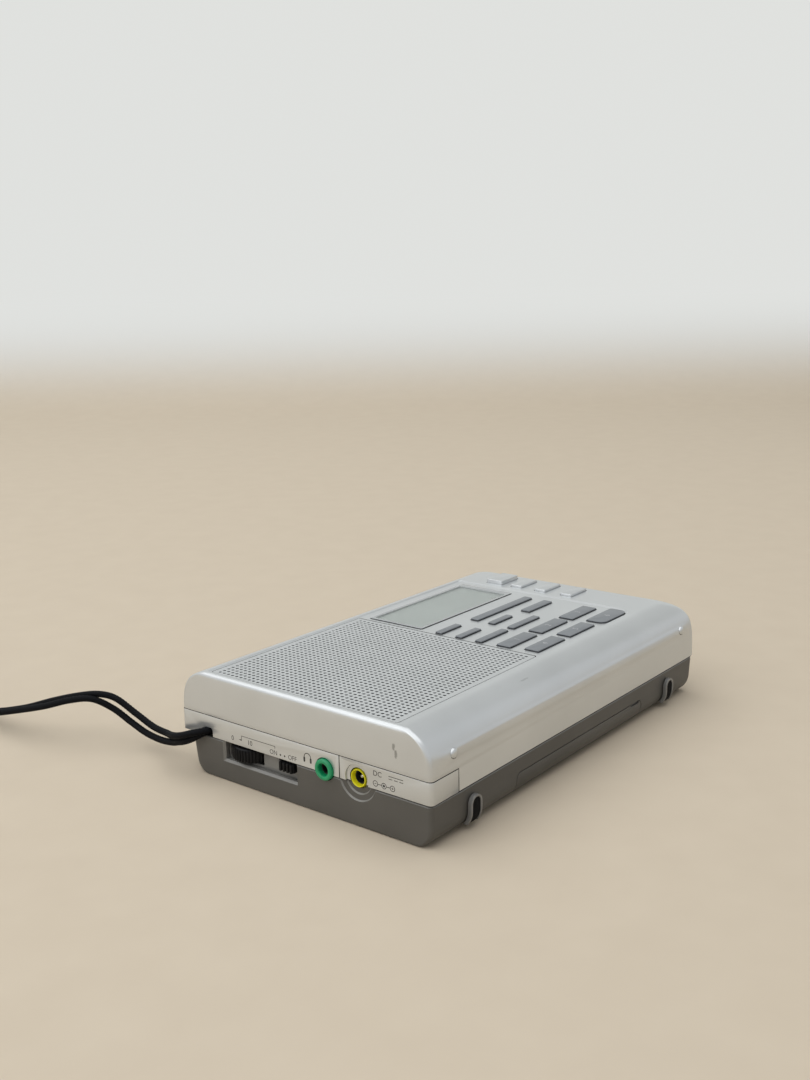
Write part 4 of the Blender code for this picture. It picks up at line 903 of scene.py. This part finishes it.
# Sockets
# Green ringed headphone socket that stands proud, and the yellow power socket
# in its dish with a bright pin in the middle.
green = finish_of("green socket plastic", (0.005, 0.27, 0.105), (0.012, 0.34, 0.14), 300.0,
                  rough=(0.26, 0.38), grain=4000.0, relief=0.06)
phones_profile = [(1.85, 0.4), (1.9, -0.2), (2.0, -0.62), (2.15, -0.86), (2.4, -0.98),
                  (2.75, -1.0), (3.05, -0.92), (3.28, -0.74), (3.4, -0.48), (3.44, -0.1),
                  (3.44, 2.7), (4.4, 2.7), (4.4, 13.7), (0.0, 13.7), (0.0, 12.7), (1.85, 12.7)]
settle("headphone_socket", turned(phones_profile, "X", phones_at, 72),
       green, "cabinet", ["headphone_jack"])
nickel = finish_of("nickel plate", (0.55, 0.54, 0.51), (0.66, 0.65, 0.62), 400.0, metallic=1.0,
                   rough=(0.2, 0.34), grain=5000.0, relief=0.05)
settle("headphone_sleeve", tube(1.55, 1.84, 0.9, 9.0, "X", phones_at, 48),
       bare_and_shade_black, "cabinet")
yellow = finish_of("yellow socket plastic", (0.72, 0.66, 0.006), (0.8, 0.74, 0.012), 300.0,
                   rough=(0.28, 0.4), grain=4000.0, relief=0.06)
power_profile = [(2.15, 2.0), (2.4, 0.92), (2.48, 0.66), (2.58, 0.52), (2.72, 0.52), (2.82, 0.66),
                 (2.86, 0.9), (2.86, 2.7), (4.4, 2.7), (4.4, 13.7), (0.0, 13.7), (0.0, 12.7),
                 (2.15, 12.7)]
settle("power_socket", turned(power_profile, "X", power_at, 72), yellow,
       "cabinet", ["dc_jack"])
pin_profile = [(0.0, 2.2), (0.35, 2.25), (0.6, 2.5), (0.65, 2.8), (0.65, 12.4), (0.0, 12.4)]
settle("power_pin", turned(pin_profile, "X", power_at, 24), nickel,
       "cabinet", ["dc_pin"])
# Painted shade: a black sleeve lines the bore of the power socket beyond 1.9 mm.
settle("power_sleeve", tube(1.85, 2.12, 1.9, 12.4, "X", power_at, 48),
       bare_and_shade_black, "cabinet")


# Rear cabinet
# Dark tub in fine matt moulding, rounded most at the standing edge, cut for
# the lid, the control window, the lower half of the dish and four screws.
rear_top = 13.55
edge_y, edge_z, edge_radius = 6.8, 6.5, 6.5
lid_x0, lid_x1, lid_end, lid_top = 44.3, 125.7, 47.4, 8.3
lid_gap = 0.3
aerial_x, aerial_z = 160.0, 4.6
dark_plastic = finish_of("dark case plastic", (0.078, 0.075, 0.067), (0.094, 0.09, 0.081), 45.0,
                         rough=(0.42, 0.52), grain=4500.0, relief=0.22, depth=0.00006)


def edge_inset(z, radius):
    """How far a rounded edge stands back at height z above the table."""
    if z >= radius:
        return 0.0
    return radius - math.sqrt(radius * radius - (radius - z) ** 2)


rear_rings = []
for z in (0.0, 0.06, 0.18, 0.36, 0.6, 0.9, 1.3, 1.8, 2.4, 3.1, 3.9, 4.8, 5.7,
          6.6, 9.0, rear_top - 0.28, rear_top):
    ease = 0.28 if z == rear_top else 0.0
    below = rear_top - z
    x0 = 0.3 + edge_inset(z, 0.8) + ease
    x1 = 167.7 - edge_inset(z, 2.0) - 0.14 * below - ease
    y0 = 0.3 + edge_inset(z, edge_radius) + ease
    y1 = 101.9 - edge_inset(z, 3.8) - 0.15 * below - ease
    outline = rounded(x0, x1, y0, y1, (1.6, 2.2, 2.2, 4.5), 10)
    rear_rings.append(raised(outline, z))
for z, inset in ((rear_top, 0.0), (5.0, 0.5), (2.0, 4.0)):
    outline = rounded(2.3, 165.0 - inset, 2.3 + inset, 99.2 - inset / 2, (1.0, 3.0, 3.0, 2.5), 10)
    rear_rings.append(raised(outline, z))
rear_bm = skin(rear_rings)
aerial_boss = turned([(0.0, 98.2), (3.9, 98.2), (3.9, 101.0), (3.7, 101.2), (0.0, 101.2)], "Y",
                     (aerial_x, aerial_z), 48)
rear_bm = carved(rear_bm, [aerial_boss], "UNION")
screw_spots = [(11.0, 12.0), (156.5, 12.0), (13.0, 90.0), (150.0, 88.0)]
rear_tools = [
    bar(rounded(lid_x0 - lid_gap, lid_x1 + lid_gap, -5.0, lid_top + lid_gap,
                (0.1, 0.1, 2.3, 2.3), 6), "Y", -1.0, lid_end + lid_gap),
    skin([[(x, 53.0 - flare, 7.5 - flare), (x, 84.6 + flare, 7.5 - flare),
           (x, 84.6 + flare, 14.5), (x, 53.0 - flare, 14.5)]
          for x, flare in ((-0.5, 1.5), (1.0, 0.0), (2.7, 0.0))]),
    block(163.0, 170.0, 60.07, 77.93, 8.0, 14.5),
    tube(0.0, 2.2, 97.7, 103.2, "Y", (aerial_x, aerial_z), 32),
    phones_hole(),
    turned([(0.0, -1.0), (7.5, -1.0), (7.2, 0.3), (6.8, 0.75), (5.2, 0.9),
            (4.8, 1.35), (3.3, 1.4), (3.3, 4.0), (0.0, 4.0)], "X",
           power_at, 96)]
for x, y in screw_spots:
    rear_tools.append(turned([(0.0, -1.0), (2.8, -1.0), (2.5, 0.3), (2.5, 1.4), (0.0, 1.4)], "Z",
                             (x, y), 40))
rear_bm = carved(rear_bm, rear_tools)
# Painted highlight: lighter, glossier plastic on the upper edge, the dish steps and the mouth of
# the control window.
lip_painted_highlight = finish_of("lighter lip plastic, painted highlight", (0.2, 0.196, 0.182), (0.24, 0.235, 0.218), 60.0,
                       rough=(0.2, 0.3), grain=3000.0, relief=0.05)


def smooth_mouth(at, normal):
    """Faces in lighter, glossier plastic: painted highlight on the upper edge and the steps of the
    dish, and on the mouth of the control window a lighter lip with painted light on its ledge.
    """
    window = (at.x < 2.8 and 51.0 < at.y < 86.4 and 5.8 < at.z < 13.2 and -0.95 < normal.x < 0.5)
    from_socket = math.hypot(at.y - power_at[0], at.z - power_at[1])
    dish = at.x < 1.5 and from_socket < 7.7 and -0.97 < normal.x < 0.5
    rim = rear_top - 0.3 < at.z < rear_top and 0.3 < normal.z < 0.95
    return window or rim or (dish and at.z < rear_top - 0.3)


rear_shell = settle("rear_shell", rear_bm, dark_plastic, "cabinet",
                    ["rear_cabinet"], soften=0.15)
refinish(rear_shell, lip_painted_highlight, smooth_mouth)


# Case screws
# Four zinc plated cross head screws, turned and pressed, sunk in the corners
# of the rear face.
zinc = finish_of("zinc plate", (0.32, 0.32, 0.3), (0.42, 0.42, 0.4), 900.0,
                 metallic=1.0, rough=(0.28, 0.42), grain=5000.0, relief=0.1)
head_bm = turned([(0.0, 0.42), (1.2, 0.46), (1.8, 0.62), (2.1, 0.95), (2.1, 1.38), (0.0, 1.38)],
                 "Z", (0.0, 0.0), 40)
cross_bm = carved(block(-1.25, 1.25, -0.24, 0.24, 0.2, 1.1),
                  [block(-0.24, 0.24, -1.25, 1.25, 0.2, 1.1)], "UNION")
head_bm = carved(head_bm, [cross_bm])
head = object_of("screw head", head_bm)
spots_mesh = bpy.data.meshes.new("screw spots")
spots_mesh.from_pydata([(x, y, 0.0) for x, y in screw_spots], [], [])
tree, ids, start, put = pattern_tree("screws on spots", (
    ("Spots", "Geometry"), ("Head", "Object"), ("Turn", "Float")))
info = node(tree, "GeometryNodeObjectInfo")
which = node(tree, "GeometryNodeInputIndex")
angle = node(tree, "Math", operation="MULTIPLY")
twist = node(tree, "CombineXYZ")
wire(tree, (start, "Spots", put, "Points"), (start, "Head", info, "Object"),
     (info, "Geometry", put, "Instance"), (which, "Index", angle, 0), (start, "Turn", angle, 1),
     (angle, 0, twist, "Z"), (twist, "Vector", put, "Rotation"))
screws_bm = patterned(placed("screw spots", spots_mesh), tree, ids, {
    "Head": head, "Turn": 0.65, "Finish": zinc})
bpy.data.batch_remove((head, head.data))
settle("case_screws", screws_bm, zinc, "cabinet")


# Controls
# Notched dark plate behind the window of the near end, a ribbed black
# thumbwheel and a ridged black slide switch; a like wheel at the far end.
black_plastic = finish_of("black control plastic", (0.004, 0.004, 0.0045), (0.007, 0.007, 0.0075),
                          300.0, rough=(0.4, 0.55), grain=4000.0, relief=0.1, shine=0.18)
wheel_x, wheel_y, wheel_radius = 7.1, 76.8, 8.0
plate_face, plate_top = 3.9, 13.3
wheel_notch = math.sqrt(wheel_radius ** 2 - (wheel_x - plate_face) ** 2) + 0.3
notch_low, notch_high = wheel_y - wheel_notch, wheel_y + wheel_notch
plate_outline = [(52.0, 6.0), (85.8, 6.0), (85.8, plate_top), (notch_high, plate_top),
                 (notch_high, 8.2), (notch_low, 8.2), (notch_low, plate_top), (62.4, plate_top),
                 (62.4, 10.0), (53.2, 10.0), (53.2, plate_top), (52.0, plate_top)]
plate_plastic = finish_of("control plate plastic", (0.19, 0.186, 0.172), (0.22, 0.215, 0.2), 45.0,
                          rough=(0.4, 0.5), grain=4500.0, relief=0.2, depth=0.00006)
settle("control_panel", bar(plate_outline, "X", 2.8, plate_face), plate_plastic,
       "cabinet", ["control_plate"], soften=0.15)

tree, ids, start, put = pattern_tree("ring of ribs", (
    ("Rib", "Geometry"), ("Count", "Int"), ("Radius", "Float")))
circle = node(tree, "GeometryNodeMeshCircle")
where = node(tree, "GeometryNodeInputPosition")
facing = node(tree, "FunctionNodeAlignRotationToVector", axis="X", pivot_axis="Z")
wire(tree, (start, "Count", circle, "Vertices"), (start, "Radius", circle, "Radius"),
     (circle, "Mesh", put, "Points"), (start, "Rib", put, "Instance"),
     (where, "Position", facing, "Vector"), (facing, "Rotation", put, "Rotation"))
wheel_low, wheel_high = 8.6, 13.2
for name, x, y, radius, count in (
        ("gain_wheel", wheel_x, wheel_y, wheel_radius, 44),
        ("volume_wheel", 159.6, 69.0, 9.0, 50)):
    rim = radius - 0.4
    lower = [(1.6, 0.0), (rim - 3.2, 0.0), (rim - 2.9, 0.25), (rim - 1.6, 0.25), (rim - 1.3, 0.0),
             (rim - 0.45, 0.0), (rim, 0.45)]
    disc = ([(r, wheel_low + h) for r, h in lower]
            + [(r, wheel_high - h) for r, h in reversed(lower)])
    rib = bar(corner_arc(0.0, 0.0, 0.38, -90, 90, 6)
              + [(-0.3, 0.38), (-0.3, -0.38)], "Z", -1.95, 1.95)
    ribs = patterned(object_of("rib", rib), tree, ids, {
        "Count": count, "Radius": rim - 0.02, "Finish": black_plastic})
    ribs.transform(Matrix.Translation((x, y, (wheel_low + wheel_high) / 2)))
    wheel = joined([turned(disc, "Z", (x, y), 96), ribs])
    settle(name + "_ribbed", wheel, black_plastic, name, [name], soften=0.06)

knob = [(6.3, 52.0), (6.3, 61.2), (4.3, 61.2), (4.3, 59.6)]
for groove in range(4):
    high = 59.4 - 1.5 * groove
    knob += [(-0.45, high), (-0.6, high - 0.15), (-0.6, high - 0.75),
             (-0.45, high - 0.9), (0.05, high - 1.0), (0.05, high - 1.35)]
knob += [(0.05, 53.6), (4.3, 53.6), (4.3, 52.0)]
settle("gain_slider", bar(knob, "Z", 10.4, wheel_high), black_plastic,
       "gain_switch", ["gain_switch"], soften=0.1)


# Battery lid
# Moulded lid that wraps from the rear face round the standing edge, with a
# nail slot in its lip and five grip grooves.
lid_thick = 1.8
lid_outline = ([(lid_end, 0.0)] + corner_arc(edge_y, edge_z, edge_radius, 270, 180, 16)
               + [(0.3, lid_top), (2.1, lid_top)]
               + corner_arc(edge_y, edge_z, edge_radius - lid_thick, 180, 270, 16)
               + [(lid_end, lid_thick)])
lid_bm = bar(lid_outline, "X", lid_x0, lid_x1)
lid_shape = bar(rounded(lid_x0, lid_x1, -5.0, lid_top, (0.1, 0.1, 2.0, 2.0), 6), "Y", -1.0, 48.0)
lid_bm = carved(lid_bm, [lid_shape], "INTERSECT")
lid_tools = [bar(rounded(118.0, 124.2, 7.6, 9.6, 0.4, 4), "Y", -1.0, 1.0)]
for row in range(5):
    y = 12.0 + 2.2 * row
    lid_tools.append(bar(rounded(76.0, 94.0, y, y + 1.0, 0.45, 4), "Z", -1.0, 0.45))
lid_bm = carved(lid_bm, lid_tools)
settle("battery_lid", lid_bm, dark_plastic, "battery_cover",
       ["battery_cover"], soften=0.15)


# Feet
# Arched rims in dark plastic on the standing edge, made lighter and glossier
# than the case as painted highlight, each with a black rubber pad set in it.
rim_painted_highlight = finish_of("lighter rim plastic, painted highlight", (0.2, 0.198, 0.192), (0.24, 0.237, 0.23), 200.0,
                        rough=(0.18, 0.28), grain=3000.0, relief=0.06)
pad_rubber = finish_of("black rubber", (0.003, 0.003, 0.003), (0.006, 0.006, 0.006), 500.0,
                       rough=(0.75, 0.9), grain=3000.0, relief=0.3, shine=0.15)


def round_edge(radius, x):
    """Form bounded by a bend about the middle of the standing edge."""
    outline = (corner_arc(edge_y, edge_z, radius, 180, 270, 24)
               + [(60.0, edge_z - radius), (60.0, 14.0), (edge_y - radius, 14.0)])
    return bar(outline, "X", x - 6.0, x + 6.0)


for number, x in enumerate((20.2, 145.5), 1):
    forms = []
    for half, low in ((2.8, 1.8), (2.1, 1.0), (2.0, 1.9)):
        arch = ([(x - half, low), (x + half, low)] + corner_arc(x, 8.2, half, 0, 180, 20))
        forms.append(bar(arch, "Y", -3.0, 6.4))
    rim, well, pad = forms
    rim = carved(rim, [round_edge(8.2, x)], "INTERSECT")
    rim = carved(rim, [round_edge(6.8, x)])
    rim = carved(rim, [carved(well, [round_edge(7.5, x)])])
    # Painted highlight: the rims are lighter than the case.
    settle("foot_rim_%d" % number, rim, rim_painted_highlight, "cabinet",
           ["foot_%d" % number], soften=0.25)
    pad = carved(pad, [round_edge(7.95, x)], "INTERSECT")
    settle("foot_pad_%d" % number, carved(pad, [round_edge(7.4, x)]),
           pad_rubber, "cabinet", soften=0.12)


# Strap bar
# Nickel plated pin, turned, held between the lugs behind the notch. The two
# ends of the strap are looped on it.
pin = [(0.0, 89.8), (0.85, 89.8), (1.0, 89.95), (1.0, 95.95), (0.85, 96.1), (0.0, 96.1)]
settle("strap_pin", turned(pin, "Y", (4.6, 16.2), 32), nickel, "cabinet",
       ["strap_bar"])


# Telescopic aerial
# Chromed tubes that slide in each other, folded along the rear half on a
# swivelling fork, with a turned tip.
chrome = finish_of("chromed brass", (0.58, 0.58, 0.57), (0.66, 0.66, 0.66), 250.0, metallic=1.0,
                   rough=(0.08, 0.16), grain=3000.0)
aerial_y = 104.5
aerial_line = (aerial_y, aerial_z)
collar = [(0.0, 98.4), (1.9, 98.4), (1.9, 101.5), (3.4, 101.5), (3.6, 101.7),
          (3.6, 102.2), (3.4, 102.4), (0.0, 102.4)]
fork = turned(collar, "Y", (aerial_x, aerial_z), 48)
cheeks = []
for low in (-3.4, 2.1):
    cheek = ([(aerial_x - 2.8, 102.0), (aerial_x + 2.8, 102.0)]
             + corner_arc(aerial_x, aerial_y, 2.8, 0, 180, 24))
    cheeks.append(bar(cheek, "Z", aerial_z + low, aerial_z + low + 1.3))
fork = carved(fork, cheeks, "UNION")
settle("aerial_fork", fork, chrome, "aerial_base", ["aerial_base"], soften=0.12)
root = [(0.0, 161.8)]
root += [(y, aerial_x + x) for x, y in corner_arc(0.0, 0.0, 1.8, 15, 90, 5)]
root += [(1.8, 153.6), (1.95, 153.4), (2.75, 152.8), (3.0, 152.4), (3.0, 26.5),
         (2.95, 26.15), (2.8, 26.0), (2.6, 26.0), (2.6, 150.5), (0.0, 150.5)]
settle("aerial_main_tube", turned(root, "X", aerial_line, 40),
       chrome, "aerial_root", ["aerial_root"])
inner_end = 150.1
mouth = 26.0
for name, outer, bore in (("aerial_tube_2", 2.3, 1.95), ("aerial_tube_3", 1.65, 1.35),
                          ("aerial_tube_4", 1.05, 0.75)):
    inner_end -= 0.4
    mouth -= 1.2
    profile = [(outer, mouth + 0.35), (outer - 0.06, mouth + 0.1), (outer - 0.16, mouth),
               (bore, mouth), (bore, inner_end), (outer, inner_end)]
    settle(name + "_chromed", turned(profile, "X", aerial_line, 36), chrome,
           name, [name])
tip = [(0.0, 15.4), (1.6, 15.4), (2.2, 15.55), (2.6, 15.95), (2.8, 16.6), (2.8, 17.6),
       (2.65, 17.8), (2.65, 18.2), (2.8, 18.4), (2.8, 20.6), (2.6, 21.4), (2.1, 21.9), (1.6, 22.0),
       (0.45, 22.0), (0.45, 148.9), (0.0, 148.9)]
settle("aerial_tip_cap", turned(tip, "X", aerial_line, 40), chrome,
       "aerial_tip", ["aerial_tip"])


# Printed marks of the near end
# Dark ink: end marks of the wheel, ON and OFF of the switch, a headphone
# sign, and the polarity sign of the power socket.
mark_ink = finish_of("dark mark ink", (0.018, 0.018, 0.02), (0.03, 0.03, 0.032), 900.0,
                     rough=(0.5, 0.62), grain=6000.0, relief=0.05)
for name, words, size, y, z in (("mark_low", "0", 2.3, 80.2, 16.0),
                                ("mark_high", "10", 2.3, 72.4, 16.0),
                                ("mark_on", "ON", 2.1, 62.0, 15.5),
                                ("mark_off", "OFF", 2.1, 53.9, 15.5),
                                ("mark_power", "DC", 2.3, 19.8, 19.1)):
    printed(name, words, size, (-0.008, y, z), mark_ink, "cabinet", "-X")
ink_thick = 0.015


def stroke(y0, y1, z0, z1):
    """Straight stroke of ink."""
    return block(-ink_thick, 0.0, y0, y1, z0, z1)


def spot(y, z, inner, outer, steps=20):
    """Round spot or ring of ink."""
    return tube(inner, outer, -ink_thick, 0.0, "X", (y, z), steps)


def filled(outline):
    """Outline filled with ink."""
    return bar(outline, "X", -ink_thick, 0.0)


strokes = [stroke(61.2, 76.2, 17.55, 17.72), stroke(61.2, 61.4, 16.9, 17.55),
           stroke(76.0, 76.2, 16.5, 17.55), filled([(76.1, 16.5), (77.4, 16.2), (76.1, 15.9)]),
           stroke(10.2, 15.6, 19.45, 19.65)]
for dash in range(3):
    strokes.append(stroke(10.2 + 2.0 * dash, 11.6 + 2.0 * dash, 18.6, 18.8))
strokes += [spot(y, 15.4, 0.0, 0.32) for y in (59.0, 57.2)]
sign_y, sign_z = 47.5, 17.4
strokes.append(filled(corner_arc(sign_y, sign_z, 1.45, 0, 180, 16)
                      + corner_arc(sign_y, sign_z, 1.2, 180, 0, 16)))
for side in (-1, 1):
    middle = sign_y + 1.32 * side
    strokes.append(filled(rounded(middle - 0.35, middle + 0.35, 15.7, sign_z, 0.3, 4)))
strokes += [spot(y, 16.0, 0.75, 0.95, 28) for y in (20.6, 17.4, 14.2)]
strokes += [spot(17.4, 16.0, 0.0, 0.4), stroke(15.15, 16.45, 15.9, 16.1),
            stroke(18.35, 19.65, 15.9, 16.1), stroke(20.2, 21.0, 15.92, 16.08),
            stroke(13.8, 14.6, 15.92, 16.08), stroke(14.12, 14.28, 15.6, 16.4)]
settle("mark_signs", joined(strokes), mark_ink, "cabinet")


# Inside
# Speaker, boards, ferrite rod and cells keep their plain forms and get the
# finish of their material.
inside = [
    (finish_of("pressed speaker steel", (0.34, 0.34, 0.33), (0.46, 0.46, 0.45), 200.0,
               metallic=1.0, rough=(0.3, 0.45), grain=2500.0, relief=0.15), ["speaker_frame"]),
    (finish_of("pressed paper", (0.012, 0.011, 0.01), (0.03, 0.028, 0.025), 900.0,
               rough=(0.75, 0.9), grain=3500.0, relief=0.5), ["speaker_cone"]),
    (finish_of("sintered ferrite", (0.02, 0.02, 0.022), (0.035, 0.035, 0.038), 700.0,
               rough=(0.55, 0.7), grain=2500.0, relief=0.3), ["speaker_magnet", "ferrite_rod"]),
    (finish_of("enamelled copper", (0.42, 0.13, 0.045), (0.55, 0.2, 0.07), 1500.0, metallic=0.9,
               rough=(0.25, 0.4), grain=5000.0, relief=0.4), ["ferrite_coil"]),
    (finish_of("green solder mask", (0.012, 0.07, 0.025), (0.02, 0.1, 0.04), 300.0,
               rough=(0.3, 0.42), grain=1500.0, relief=0.15),
     ["main_board", "key_board", "jack_board"]),
    (finish_of("cell sleeve", (0.06, 0.1, 0.2), (0.08, 0.13, 0.25), 120.0, metallic=0.3,
               rough=(0.28, 0.38), grain=2500.0, relief=0.05),
     ["battery_1", "battery_2", "battery_3"]),
    (nickel, ["contact_plate_minus", "contact_plate_plus"]),
    (black_plastic, ["battery_box"]),
]
for material, solids in inside:
    for solid in solids:
        dress(solid, material)
